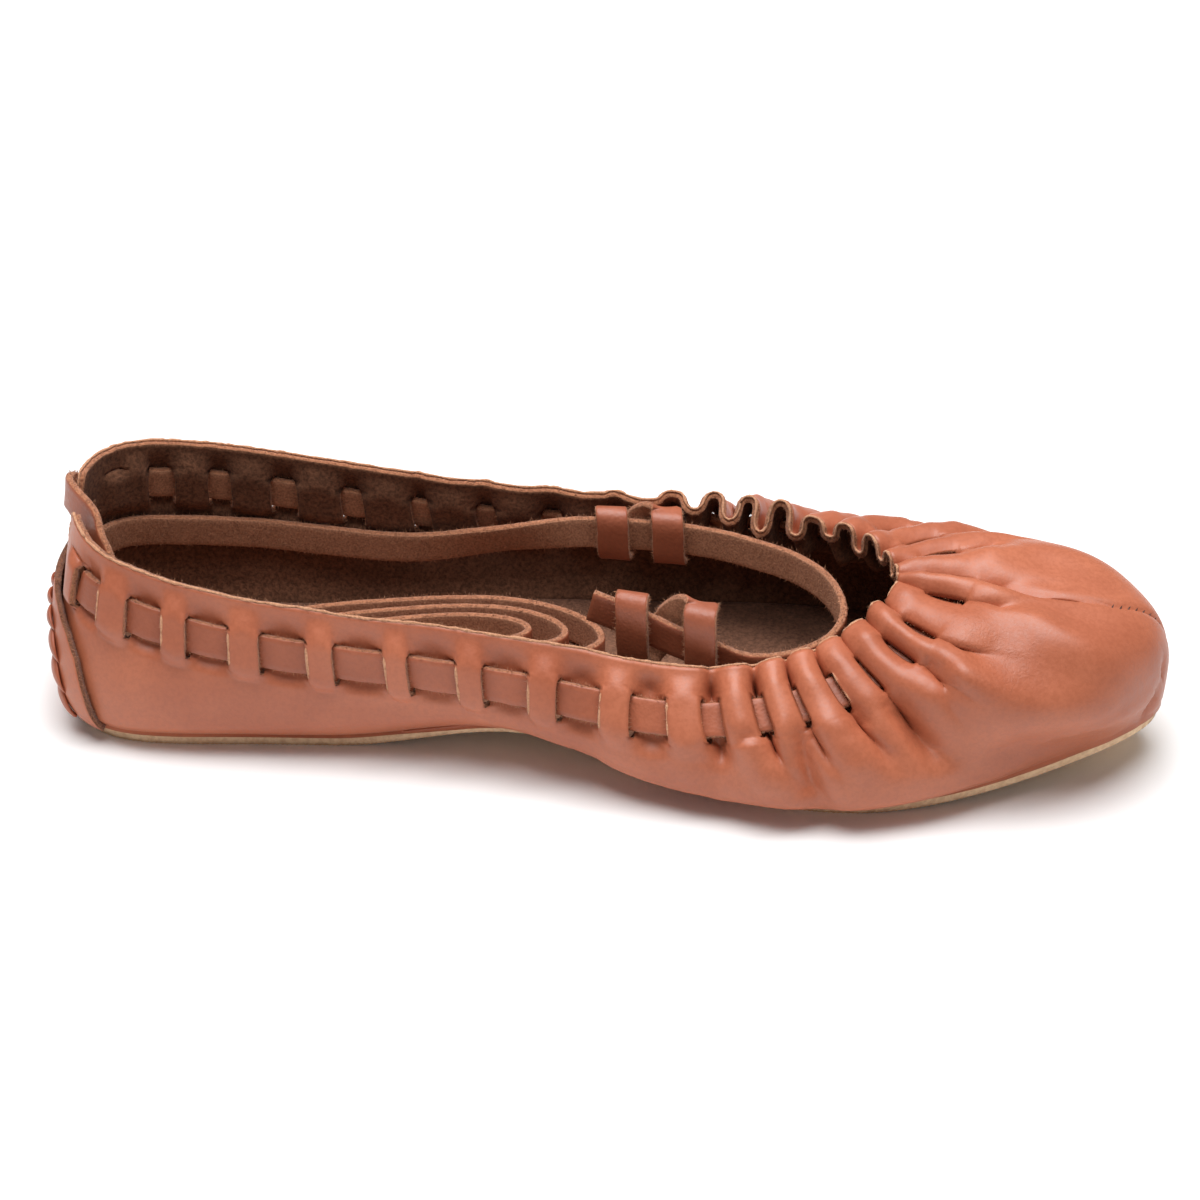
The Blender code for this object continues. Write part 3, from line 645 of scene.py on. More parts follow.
def frame_shift():
    """How far the last's own coordinates lie from the frame, found from the outsole."""
    low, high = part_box("outsole")
    edge = sole_edge(np.linspace(0, 1, BOX_SAMPLES), OUTSOLE_MARGIN)
    x = low.x / MM - edge[:, 0].min()
    y = 0.5 * (low.y + high.y) / MM - 0.5 * (edge[:, 1].min() + edge[:, 1].max())
    return np.array([x, y, 0.0])


SHIFT = frame_shift()


def in_frame(points):
    """Points on the last, in millimetres, as points of the frame, in metres."""
    return (np.asarray(points, float) + SHIFT) * MM


def rough(points, uneven):
    """Smooth noise from -1 to 1 at points."""
    offset = Vector([uneven.seed * share for share in NOISE_SHIFT])
    flat = np.reshape(points, (-1, 3))
    values = [noise.noise(Vector(point) / uneven.size + offset) for point in flat]
    return np.reshape(values, np.shape(points)[:-1])


def faces_between(lines, following):
    """Faces between each line of points and the one that follows it."""
    return [face for here, there in zip(lines, following)
            for face in zip(here, here[1:], there[1:], there)]


def tube_faces(rings):
    """Faces of a tube through rings of points, with both its ends shut."""
    closed = np.column_stack([rings, rings[:, 0]])
    return faces_between(closed, closed[1:]) + [tuple(rings[0][::-1]), tuple(rings[-1])]


def add_piece(name, points, faces, materials, face_materials=None):
    """Mesh of points on the last, which rides on the shoe."""
    data = bpy.data.meshes.new(name)
    data.from_pydata(in_frame(points).tolist(), [], [tuple(face) for face in faces])
    for made in materials:
        data.materials.append(made)
    if face_materials is not None:
        data.polygons.foreach_set("material_index", np.asarray(face_materials, np.int32))
    data.shade_smooth()
    data.update()
    piece = bpy.data.objects.new(name, data)
    bpy.context.scene.collection.objects.link(piece)
    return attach(piece, BODY)


def add_attribute(piece, name, values):
    """Named value at each point of a piece, which its material reads."""
    made = piece.data.attributes.new(name, "FLOAT", "POINT")
    made.data.foreach_set("value", np.asarray(values, np.float32))


def thicken(piece, thickness):
    """Leather of a thickness about the piece's surface, with its flesh side inside and cut edges."""
    solid = piece.modifiers.new("Thickness", "SOLIDIFY")
    solid.thickness = thickness * MM
    solid.offset = 0
    solid.material_offset = FLESH
    solid.material_offset_rim = CUT


# Upper


# One line of points down the wall, in a window or in the bar after it, at a share across that.
# bows are for its two sides, which differ at a slit: 1 over the strap, -1 behind it.
# swing is -1 in the middle of a window, 0 at a slit and 1 in the middle of a bar.
Column = namedtuple("Column", "window bar share bows swing")


def upper_columns():
    """Columns from the first window on the inner side of the heel to the last on the outer side."""
    columns = []
    for window in range(-WINDOWS_EACH_SIDE, WINDOWS_EACH_SIDE + 1):
        last = window == WINDOWS_EACH_SIDE
        tabs, bars = TAB_COLUMNS, BAR_COLUMNS
        if abs(window) <= FRONT_WINDOWS:
            tabs, bars = FRONT_TAB_COLUMNS, FRONT_BAR_COLUMNS
        columns.append(Column(window, False, -1.0, (1, -1), 0.0))
        for share in np.linspace(-1, 1, tabs + 1)[1:-1]:
            columns.append(Column(window, False, share, (-1, -1), abs(share) - 1))
        columns.append(Column(window, False, 1.0, (-1, -1 if last else 1), 0.0))
        if not last:
            for share in np.linspace(-1, 1, bars + 1)[1:-1]:
                columns.append(Column(window, True, share, (1, 1), 1 - abs(share)))
    return columns


def notch(turn):
    """Depth of the dip in the rim at the back of the heel."""
    away = np.abs((turn - NOTCH_TURN + 0.5) % 1 - 0.5)
    return NOTCH_DEPTH * smoothstep((NOTCH_HALF_FLAT + NOTCH_SHOULDER - away) / NOTCH_SHOULDER)


def row_drops(turns, low_turns):
    """Distances below the collar of the rows of points, down each column to its place at the sole."""
    rim = np.linspace(0, SLIT_TOP, RIM_ROWS, endpoint=False)
    slit = mix(SLIT_TOP, SLIT_BOTTOM, 0.5 - 0.5 * np.cos(np.linspace(0, math.pi, SLIT_ROWS)))
    body = np.linspace(0, 1, BODY_ROWS + 1)[1:] ** ROW_CROWDING
    dip = notch(turns)[:, None]
    band = dip + np.concatenate([rim, slit])[None] * (SLIT_BOTTOM - dip) / SLIT_BOTTOM
    return np.hstack([band, SLIT_BOTTOM + body[None] * (wall_length(low_turns)[:, None] - SLIT_BOTTOM)])


def window_sides(window, drops, skew):
    """Both sides of a window along the strap, at distances down the wall.

    A window on the gathered front is pinched at its ends and spreads again below them.
    """
    along = np.clip((drops - SLIT_TOP) / (SLIT_BOTTOM - SLIT_TOP), 0, 1)
    below = smoothstep((drops - SLIT_BOTTOM) / PINCH_FADE)
    ends = mix(gather(window, "top"), gather(window, "bottom"), along)
    wide = mix(ends, 1.0, np.maximum(np.sin(math.pi * along) ** PINCH_ROUND, below))
    wide = mix(side_gather(window, "rim_width"), wide, smoothstep(drops / SLIT_TOP))
    opening = gather(window, "opening")
    pitch = 0.5 * (window_place(window + 1) - window_place(window - 1))
    half = 0.5 * mix(opening * wide, max(opening, SPREAD_SHARE * pitch), below)
    middle = window_place(window) + skew * below
    return middle - half, middle + half


def column_distance(column, drops, skews):
    """Distance along the strap of a column, at distances down the wall."""
    start, end = window_sides(column.window, drops, skews[column.window])
    if column.bar:
        start, end = end, window_sides(column.window + 1, drops, skews[column.window + 1])[0]
    sway = MEANDER * side_gather(column.window, "rim")
    loop = sway * math.sin(math.pi * column.share) * smoothstep(1 - drops / SLIT_TOP)
    return mix(start, end, 0.5 + 0.5 * column.share) + loop


def pleats(columns, drops):
    """How far the gathered leather swings out of the wall, over and between the bars."""
    out = np.zeros(drops.shape)
    strength = RANDOM.uniform(*PLEAT_STRENGTH, size=2 * len(columns))
    reach = RANDOM.uniform(*PLEAT_REACH, size=2 * len(columns))
    uneven = RANDOM.uniform(*RIM_STRENGTH, size=2 * len(columns))
    for i, column in enumerate(columns):
        pleat = 2 * (column.window + WINDOWS_EACH_SIDE) + column.bar
        at_strap = gather(column.window, "ruffle") * strength[pleat]
        at_rim = side_gather(column.window, "rim") * uneven[pleat]
        above = smoothstep(drops[i] / SLIT_TOP)
        below = smoothstep(1 - (drops[i] - SLIT_BOTTOM) / reach[pleat])
        size = np.where(drops[i] < SLIT_BOTTOM, mix(at_rim, at_strap, above), at_strap * below)
        out[i] = math.sin(0.5 * math.pi * column.swing) * size
        pit = gather(column.window, "pit") * max(0.0, -column.swing)
        out[i] -= pit * np.exp(-((drops[i] - PIT_DROP) / PIT_WIDTH) ** 2)
    return out


def bowing(column, drops, side):
    """How far a bar is bowed out over the strap, or a tab pushed in behind it."""
    inside = smoothstep((drops - SLIT_TOP) / SLIT_RAMP) * smoothstep((SLIT_BOTTOM - drops) / SLIT_RAMP)
    ramp = SOFT_RAMP_BOTTOM + RUFFLE_RAMP * gather(column.window, "ruffle")
    soft = (smoothstep((drops - SLIT_TOP + SOFT_RAMP_TOP) / (SOFT_RAMP_TOP + SLIT_RAMP))
            * smoothstep((SLIT_BOTTOM + ramp - drops) / (ramp + SLIT_RAMP)))
    shape = mix(inside, soft, 1 - abs(column.share) ** BOW_EDGE)
    return shape * (column.bows[side] * BOW - gather(column.window + 0.5 * column.bar, "sink"))


def seam_turn(drop):
    return np.interp(drop, SEAM_DROPS, SEAM_TURNS)


def seam(points, drops):
    """Trough along the middle of the toe: broad at the throat, a narrow seam towards the tip."""
    middle = on_wall(seam_turn(drops), drops)
    away = np.linalg.norm(points - middle, axis=-1)
    along = np.clip((drops - SEAM_START) / (SEAM_NARROW - SEAM_START), 0, 1)
    width = mix(*SEAM_WIDTH, smoothstep(along))
    depth = mix(*SEAM_DEPTH, smoothstep(along)) * smoothstep(along / SEAM_TAPER)
    return -depth * np.exp(-(away / width) ** 2)


def crease_offset(points):
    """How far the listed creases move points out of the wall."""
    flat = points.reshape(-1, 3)
    out = np.zeros(len(flat))
    for crease in CREASES:
        places = smooth_line(np.column_stack([crease.places, np.zeros(len(crease.places))]), CREASE_STEP)
        line = on_wall(places[:, 0], places[:, 1])
        reach = CREASE_REACH * crease.width
        near = ((flat > line.min(axis=0) - reach) & (flat < line.max(axis=0) + reach)).all(axis=1)
        away = np.linalg.norm(flat[near][:, None] - line[None], axis=2)
        nearest = away.argmin(axis=1)
        share = nearest / (len(line) - 1)
        taper = smoothstep(share / CREASE_START) * smoothstep((1 - share) / CREASE_END)
        width = crease.width * mix(*CREASE_FAN, share)
        out[near] += crease.height * taper * np.exp(-(away.min(axis=1) / width) ** 2)
    return out.reshape(points.shape[:-1])


def wrinkling(points, drops):
    """Strength of the fine wrinkles at points: in patches, and just above the slits all round."""
    strength = BAND_WRINKLE * np.exp(-((drops - PIT_DROP) / PIT_WIDTH) ** 2)
    for patch in WRINKLES:
        away = np.linalg.norm(points - on_wall(patch.turn, patch.drop), axis=-1)
        strength += patch.strength * np.exp(-(away / patch.reach) ** 2)
    return strength


def heel_columns(first, last):
    """Turns of the columns round the back of the heel, and how far the leather there bows at the strap."""
    share = np.linspace(0, 1, HEEL_COLUMNS + 2)[1:-1]
    over = smoothstep((share - (1 - HEEL_BOW_END)) / HEEL_BOW_RAMP)
    behind = smoothstep((HEEL_BOW_END - share) / HEEL_BOW_RAMP)
    return mix(last, first, share), BOW * (over - behind)


def fill_foot(points, outward, drops):
    """Moves the lowest rows outward, so that the leather comes down steeply onto the sole."""
    out = ((points - points[:, -1:])[..., :2] * outward[:, None]).sum(axis=-1)
    low = drops > drops[:, -1:] - FOOT_REACH
    widest = np.where(low, out, -np.inf).argmax(axis=1)
    below = np.arange(out.shape[1])[None] > widest[:, None]
    most = out[np.arange(len(out)), widest][:, None]
    fill = np.minimum(FOOT_FILL * (most - out), FOOT_FILL_MOST) * below
    points[..., :2] += outward[:, None] * fill[..., None]


def upper_mesh(left, extra, opened):
    """Points and faces of the wall. The right side of an open slit has extra points of its own."""
    index = np.arange(left[..., 0].size).reshape(left.shape[:2])
    right = index.copy()
    right[opened] = index.size + np.arange(extra[..., 0].size).reshape(extra.shape[:2])
    foot = left[:, -1].copy()
    x, y = foot[:, 0], foot[:, 1]
    foot[:, 2] = sole_lift(x, y) + OUTSOLE - sole_step(x, y) + SEAT_GAP
    points = np.vstack([left.reshape(-1, 3), extra.reshape(-1, 3), foot])
    foot_index = len(points) - len(foot) + np.arange(len(foot))
    index, right = (np.column_stack([side, foot_index]) for side in (index, right))
    return points, faces_between(right, np.roll(index, -1, axis=0))


def upper_edges(left, extra, slits, rows):
    """Cut edges at the rim and the slits: lines, and the directions out of them."""
    rim_up = left[:, 0] - left[:, 1]
    edges = [(np.vstack([left[:, 0], left[:1, 0]]), np.vstack([rim_up, rim_up[:1]]))]
    for number, slit in enumerate(slits):
        edges.append((left[slit, rows], left[slit, rows] - left[slit - 1, rows]))
        edges.append((extra[number], extra[number] - left[(slit + 1) % len(left), rows]))
    return edges


def build_upper(materials):
    """The wall with every slit open between a bar that bows out and a tab that is pushed in."""
    columns = upper_columns()
    skews = {window: RANDOM.uniform(-PLEAT_SKEW, PLEAT_SKEW) * gather(window, "ruffle")
             for window in range(-WINDOWS_EACH_SIDE, WINDOWS_EACH_SIDE + 1)}
    plain, low = (np.array([strap_turn(column_distance(column, np.array([drop]), skews)[0])
                            for column in columns]) for drop in (STRAP_DROP, SLIT_BOTTOM + PINCH_FADE))
    heel, heel_bow = heel_columns(plain[0], plain[-1] - 1)
    drops = row_drops(np.append(plain, heel), np.append(low, heel))
    bands = drops[:len(columns)]
    distance = np.array([column_distance(column, drop, skews) for column, drop in zip(columns, bands)])
    heel_turns = np.tile(heel[:, None], (1, drops.shape[1]))

    wall = on_wall(np.vstack([strap_turn(distance), heel_turns]), drops)
    gathers = np.vstack([pleats(columns, bands), np.zeros(heel_turns.shape)])
    folds = gathers + seam(wall, drops) + crease_offset(wall)
    cloud = rough(wall, CLOUDS)
    folds += CLOUDS.depth * cloud
    folds += DENTS.depth * rough(wall, DENTS) * np.abs(gathers) / (1 + np.abs(gathers))
    ragged = drops.copy()
    ragged[:, 0] += RIM_WANDER * cloud[:, 0] + RIM_FRAY.depth * rough(wall[:, 0], RIM_FRAY)

    rows = np.arange(RIM_ROWS + SLIT_SHUT_TOP, RIM_ROWS + SLIT_ROWS - SLIT_SHUT_BOTTOM)
    slits = np.flatnonzero([column.bows[0] != column.bows[1] for column in columns])
    opened = np.ix_(slits, rows)
    shut = np.ones(drops.shape[1], bool)
    shut[rows] = False
    bows = [np.array([bowing(column, drop, side) for column, drop in zip(columns, bands)])
            for side in (0, 1)]
    middle = 0.5 * (bows[0] + bows[1])[:, shut]
    inside = bowing(Column(WINDOWS_EACH_SIDE, False, 1.0, (1, 1), 0.0), drops[len(columns):], 0) / BOW
    made, lit_raw_edges = [], []
    for side, bow in enumerate(bows):
        apart = np.zeros(distance.shape)
        apart[opened] = (side - 0.5) * SLIT_GAP
        turn = np.vstack([strap_turn(distance + apart), heel_turns])
        bow[:, shut] = middle
        out = folds + np.vstack([bow, heel_bow[:, None] * inside])
        made.append(on_wall(turn, ragged, out))
        for slit in slits:
            # Painted light: a pale bead only on a bar's edge that faces the heel and catches the light; the
            # toe-facing edge, in shade, gets none
            faces_toe = (side == 0) == (columns[slit].window < 0)
            if columns[slit].bows[side] > 0 and not faces_toe:
                lit_raw_edges.append(on_wall(turn[slit, rows], ragged[slit, rows], out[slit, rows] + BEAD_OUT))
    outward = foot_line(np.append(low, heel))[1]
    for points in made:
        fill_foot(points, outward, drops)
    rim = on_wall(turn[:, 0], ragged[:, 0] - RIM_BEAD_RISE, folds[:, 0] + BEAD_OUT)
    lit_raw_edges.append(np.vstack([rim, rim[:1]]))

    left, extra = made[0], made[1][opened]
    piece = add_piece("upper_leather", *upper_mesh(left, extra, opened), materials)
    # fold is how far the gathered leather swings out; the leather's material darkens it where it swings in,
    # as painted shade in the troughs and pits
    for name, values in (("fold", gathers), ("wrinkle", wrinkling(wall, drops))):
        add_attribute(piece, name, np.concatenate([values.ravel(), values[opened].ravel(), values[:, -1]]))
    thicken(piece, LEATHER)
    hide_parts("upper")
    return upper_edges(left, extra, slits, rows), lit_raw_edges


# Straps


def smooth_line(points, step):
    """Points at even steps along a smooth curve through the given points.

    Columns past the third, such as a direction at each point, are carried along.
    """
    points = np.asarray(points, float)
    padded = np.vstack([2 * points[0] - points[1], points, 2 * points[-1] - points[-2]])
    fine = []
    for before, start, end, after in zip(padded, padded[1:], padded[2:], padded[3:]):
        t = np.linspace(0, 1, CURVE_STEPS, endpoint=False)[:, None]
        square = 2 * before - 5 * start + 4 * end - after
        cube = 3 * start - before - 3 * end + after
        fine.append(start + 0.5 * ((end - before) * t + square * t ** 2 + cube * t ** 3))
    fine = np.vstack(fine + [points[-1:]])
    length = line_length(fine[:, :3])
    even = np.linspace(0, length[-1], max(2, round(length[-1] / step)) + 1)
    return along_line(even, length, fine)


def wall_point(turn, drop, out=0.0):
    """Point of a strap's route on the wall, and the direction up the wall there."""
    return np.append(on_wall(turn, drop, out), on_wall(turn, drop - 1) - on_wall(turn, drop + 1))


def wall_points(route):
    return [wall_point(*step) for step in route]


def upright_points(points):
    """Points of a strap's route away from the wall, where the strap stands on its edge."""
    return [np.append(point, (0, 0, 2)) for point in points]


def strap_section(width):
    """Outline of a strap: points across and out of its face, and the material of each side.

    The grain side has rounded corners. The flesh side is flat, and the two edges are cut.
    """
    half, deep, count = 0.5 * width, 0.5 * STRAP_THICK, STRAP_FACE_POINTS
    grain_half, flesh_half = half - STRAP_CORNER, half - STRAP_FLESH_INSET
    grain = [(a, deep) for a in np.linspace(-grain_half, grain_half, count)]
    right = [
        (half - STRAP_BEVEL[0], deep - STRAP_BEVEL[1]),
        (half, deep - STRAP_CORNER),
        (half, 0.0),
        (half - STRAP_UNDERCUT[0], -deep + STRAP_UNDERCUT[1]),
    ]
    flesh = [(a, -deep) for a in np.linspace(flesh_half, -flesh_half, count)]
    left = [(-a, b) for a, b in reversed(right)]
    edge = [CUT] * (len(right) - 1)
    sides = [GRAIN] * count + edge + [FLESH] * (count + 1) + edge + [GRAIN]
    return np.array(grain + right + flesh + left), sides


def add_strap(name, route, materials, width=STRAP_WIDTH, turned=False):
    """Flat strap along a route of points, each with the direction across the strap."""
    line, upright = route[:, :3], route[:, 3:]
    along = unit(np.gradient(line, axis=0))
    upright = unit(upright - along * (upright * along).sum(axis=1)[:, None])
    face = np.cross(along, upright) * (-1 if turned else 1)
    outline, sides = strap_section(width)
    wobble = STRAP_WOBBLE.depth * rough(line, STRAP_WOBBLE._replace(seed=len(name)))
    worn = np.abs(outline[:, 0]) > 0.5 * width - STRAP_WORN_EDGE
    points = (line[:, None] + upright[:, None] * outline[None, :, :1]
              + face[:, None] * (outline[None, :, 1:] + wobble[:, None, None]))
    frayed = STRAP_FRAY.depth * rough(points[:, worn], STRAP_FRAY)
    points[:, worn] += upright[:, None] * frayed[..., None]
    faces = tube_faces(np.arange(points[..., 0].size).reshape(points.shape[:2]))
    if turned:
        faces = [corners[::-1] for corners in faces]
    looks = sides * (len(line) - 1) + [CUT, CUT]
    piece = add_piece(name, points.reshape(-1, 3), faces, materials, looks)
    edges = [(line + upright * 0.5 * width * side, upright * side) for side in (-1, 1)]
    nap = [(line + upright * width * share - face * NAP_DEPTH * STRAP_THICK, -face) for share in NAP_ROWS]
    return piece, edges, nap


def drawstring_route():
    """Strap through all the slits. It rides a little outwards in each window and inwards under each bar."""
    reach = np.arange(-STRAP_REACH, STRAP_REACH, STRAP_STEP)
    windows = range(-WINDOWS_EACH_SIDE, WINDOWS_EACH_SIDE + 1)
    bars = [window + 0.5 for window in windows[:-1]]
    places = sorted([*windows, *bars])
    stops = [0.5 * (window_place(math.floor(place)) + window_place(math.ceil(place))) for place in places]
    sways = [(STRAP_WEAVE if place in windows else -STRAP_WEAVE) - gather(place, "sink") for place in places]
    sway = np.interp(reach, stops, sways)
    turn = strap_turn(reach)
    line = on_wall(turn, STRAP_DROP, sway)
    up = on_wall(turn, STRAP_DROP - 1) - on_wall(turn, STRAP_DROP + 1)
    return np.hstack([line, up])


def strap_start(side):
    """First points of a loose end, just past the last slit."""
    distances = [side * (STRAP_REACH + beyond) for beyond in (STRAP_END_GAP, STRAP_END_RUN)]
    return [wall_point(strap_turn(distance), STRAP_DROP) for distance in distances]


def front_end_route():
    """From the inner side of the heel round inside it, along the outer wall and back at the throat."""
    points = strap_start(-1) + wall_points(FRONT_END_HEEL) + upright_points(FRONT_END_TURN)
    return smooth_line(points, STRAP_STEP)


def coil_points():
    """Turns of the coil on the insole, each inside the one before."""
    steps = round((COIL_END - COIL_START) / (2 * math.pi) * COIL_STEPS_PER_TURN)
    angle = np.linspace(COIL_START, COIL_END, steps + 1)
    share = (angle - COIL_START) / (COIL_END - COIL_START)
    x = COIL_CENTRE[0] - np.cos(angle) * mix(*COIL_HALF_LENGTH, share)
    y = COIL_CENTRE[1] - np.sin(angle) * mix(*COIL_HALF_WIDTH, share)
    z = sole_lift(x, y) + OUTSOLE + GAP + INSOLE + 2 * GAP + 0.5 * STRAP_WIDTH
    return np.column_stack([x, y, z]).tolist()


def rear_end_route():
    """From the outer side round the back of the heel, in at the notch and down to the coil."""
    points = strap_start(1) + wall_points(REAR_END_HEEL) + upright_points(REAR_END_DIVE + coil_points())
    return smooth_line(points, STRAP_STEP)


def wrap_route(wrap):
    """Strap wound round an axis, from the top over its inner side and down."""
    steps = round(WRAP_TURNS * WRAP_STEPS_PER_TURN)
    share = np.linspace(0, 1, steps + 1)[:, None]
    angle = 2 * math.pi * WRAP_TURNS * share

    def rounded(wave):
        return np.sign(wave) * np.abs(wave) ** WRAP_ROUNDNESS

    passing = smoothstep((angle - WRAP_SHIFT[0]) / (WRAP_SHIFT[1] - WRAP_SHIFT[0]))
    share = mix(share, passing, WRAP_UPRIGHT)
    rear, front = np.array(wrap.rear), np.array(wrap.front)
    axis = (front - rear) / np.linalg.norm(front - rear)
    inward = np.cross(axis, (0, 0, 1))
    up = np.cross(inward, axis)
    depth = wrap.half_depth * rounded(np.sin(angle))
    height = wrap.half_height * rounded(np.cos(angle))
    line = rear + (front - rear) * share + inward * depth + up * height
    return np.column_stack([line, np.tile(axis, (len(line), 1))])


def build_straps(materials, fibre):
    """Drawstring, wraps and the two loose ends, each with the fibres of its cut edges."""
    drawstring, edges, _ = add_strap("drawstring_strap", drawstring_route(), materials)
    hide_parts("drawstring")
    build_fibres("drawstring_fibres", edges, STRAP_THICK, fibre)
    held = {"strap_end_front": [], "strap_end_rear": []}
    for node, wrap in (("strap_wrap_inner", INNER_WRAP), ("strap_wrap_outer", OUTER_WRAP)):
        piece, edges, _ = add_strap(node + "_band", wrap_route(wrap), materials, WRAP_STRAP_WIDTH)
        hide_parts(node)
        held["strap_end_front"] += [piece, build_fibres(node + "_fibres", edges, STRAP_THICK, fibre)]
    ends = [
        ("strap_end_front", front_end_route(), True, "loose"),
        ("strap_end_rear", rear_end_route(), False, "coiled"),
    ]
    for node, route, turned, lay in ends:
        piece, edges, nap = add_strap(node + "_band", route, materials, turned=turned)
        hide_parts(node)
        held[node].append(build_fibres(node + "_fibres", edges, STRAP_THICK, fibre))
        if lay == "loose":
            held[node].append(build_fibres(node + "_nap", nap, NAP_SPREAD, fibre))


# Fibres and stitches


def build_fibres(name, edges, thick, materials):
    """Loose fibres that stand out of cut edges. Each edge is a line and the directions out of it."""
    points, faces = [], []
    ring = np.linspace(0, 2 * math.pi, FIBRE_SIDES, endpoint=False)
    for line, outward in edges:
        length = line_length(line)
        count = int(length[-1] * FIBRES_PER_MM)
        at = RANDOM.uniform(0, length[-1], count)
        place, away, along = (along_line(at, length, values)
                              for values in (line, outward, np.gradient(line, axis=0)))
        across = np.cross(along, away)
        away, along, across = unit(away), unit(along), unit(across)
        root = place + across * RANDOM.uniform(-0.5, 0.5, (count, 1)) * thick - FIBRE_ROOT * away
        lean = unit(away + RANDOM.normal(0, FIBRE_LEAN, (count, 3)))
        tip = root + lean * RANDOM.uniform(*FIBRE_LENGTH, (count, 1))
        for i in range(count):
            base = len(points) + np.arange(FIBRE_SIDES)
            points.extend(root[i] + 0.5 * FIBRE_THICK * (along[i] * math.cos(a) + across[i] * math.sin(a))
                          for a in ring)
            points.append(tip[i])
            faces.append(base[::-1])
            faces += [(corner, after, base[-1] + 1) for corner, after in zip(base, np.roll(base, -1))]
    return add_piece(name, points, faces, materials)


def build_beads(name, lines, materials):
    """Raised ragged edge where cut leather shows its raw side, one bead along each line, pale partly as
    painted light.
    """
    points, faces = [], []
    ring = np.linspace(0, 2 * math.pi, BEAD_SIDES, endpoint=False)
    for line in lines:
        along = unit(np.gradient(line, axis=0))
        side = unit(np.cross(along, BEAD_ASIDE))
        over = np.cross(along, side)
        index = len(points) + np.arange(len(line) * BEAD_SIDES).reshape(len(line), BEAD_SIDES)
        for number, place in enumerate(line):
            ends = number in (0, len(line) - 1)
            radius = BEAD_RADIUS * RANDOM.uniform(*BEAD_UNEVEN) * (BEAD_TIP if ends else 1.0)
            points.extend(place + radius * (side[number] * math.cos(a) + over[number] * math.sin(a))
                          for a in ring)
        faces += tube_faces(index)
    add_piece(name, points, faces, materials)


def build_stitches(materials):
    """Small stitches across the seam, near the tip of the toe."""
    points, faces = [], []
    steps, ring = 7, 6
    for number in range(STITCH_COUNT):
        drop = STITCH_FIRST + number * STITCH_PITCH
        turn = seam_turn(drop)
        bend = crease_offset(on_wall(turn, drop)[None])[0]
        middle = on_wall(turn, drop, 0.5 * LEATHER - SEAM_DEPTH[1] + bend)
        out = on_wall(turn, drop, 1.0) - on_wall(turn, drop, 0.0)
        along = on_wall(turn, drop + 0.5) - on_wall(turn, drop - 0.5)
        across = np.cross(out, along)
        index = len(points) + np.arange(steps * ring).reshape(steps, ring)
        for share in np.linspace(-1, 1, steps):
            place = middle + across * share * STITCH_HALF + out * (STITCH_LIFT + STITCH_HOOK * share ** 2)
            place = place + along * STITCH_SLANT * share
            radius = STITCH_RADIUS * max(STITCH_TIP, 1 - share ** STITCH_BLUNT)
            for angle in np.linspace(0, 2 * math.pi, ring, endpoint=False):
                points.append(place + radius * (along * math.cos(angle) + out * math.sin(angle)))
        faces += tube_faces(index)
    add_piece("toe_seam_stitches", points, faces, materials)


# Counter and its thong


def heel_turn(arc):
    """Turn at an arc around the heel from the middle of its back."""
    turns = np.linspace(-COUNTER_REACH, COUNTER_REACH, HEEL_SAMPLES)
    along = line_length(on_wall(turns, COUNTER_ARC_DROP))
    return np.interp(arc, along - np.interp(0, turns, along), turns)


def on_heel(arc, height, out):
    """Point on the heel: an arc around it, a height above the counter's lower edge, a distance out."""
    turn = heel_turn(arc)
    drop = wall_length(np.ravel(turn)).reshape(np.shape(turn)) - COUNTER_BOTTOM - height
    return on_wall(turn, drop, out)


def build_counter(materials):
    """Patch on the heel. Returns its cut edges, without the lower one."""
    heights = [edge.height for edge in COUNTER_EDGE]
    share = np.linspace(0, 1, COUNTER_ROWS)
    height = heights[-1] * share
    half_arc = np.interp(height, heights, [edge.half_arc for edge in COUNTER_EDGE])
    across = np.linspace(-1, 1, COUNTER_ACROSS)
    arc = half_arc[:, None] * across
    tall = height[:, None] + 0 * arc
    lumps = rough(on_heel(arc, tall, COUNTER_OUT), COUNTER_LUMPS)
    border = np.maximum(np.abs(across)[None], share[:, None]) ** COUNTER_BORDER_EDGE
    points = on_heel(arc, tall, COUNTER_OUT + COUNTER_LUMPS.depth * lumps - COUNTER_BORDER * border)
    index = np.arange(arc.size).reshape(arc.shape)
    faces = faces_between(index, index[1:])
    piece = add_piece("heel_counter_leather", points.reshape(-1, 3), faces, materials)
    add_attribute(piece, "fold", COUNTER_FOLD * lumps.ravel())
    add_attribute(piece, "wrinkle", np.full(lumps.size, COUNTER_WRINKLE))
    thicken(piece, COUNTER_LEATHER)
    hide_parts("heel_counter")
    return [
        (points[:, 0], points[:, 0] - points[:, 1]),
        (points[-1], points[-1] - points[-2]),
        (points[:, -1], points[:, -1] - points[:, -2]),
    ]


def thong_line():
    """Line of the thong over the counter, as arc and height."""
    climb = [(edge.half_arc, edge.height, 0.0) for edge in THONG_ROUTE]
    route = climb + [(-arc, height, 0.0) for arc, height, _ in climb[-2::-1]]
    return smooth_line(route, THONG_STEP)[:, :2]


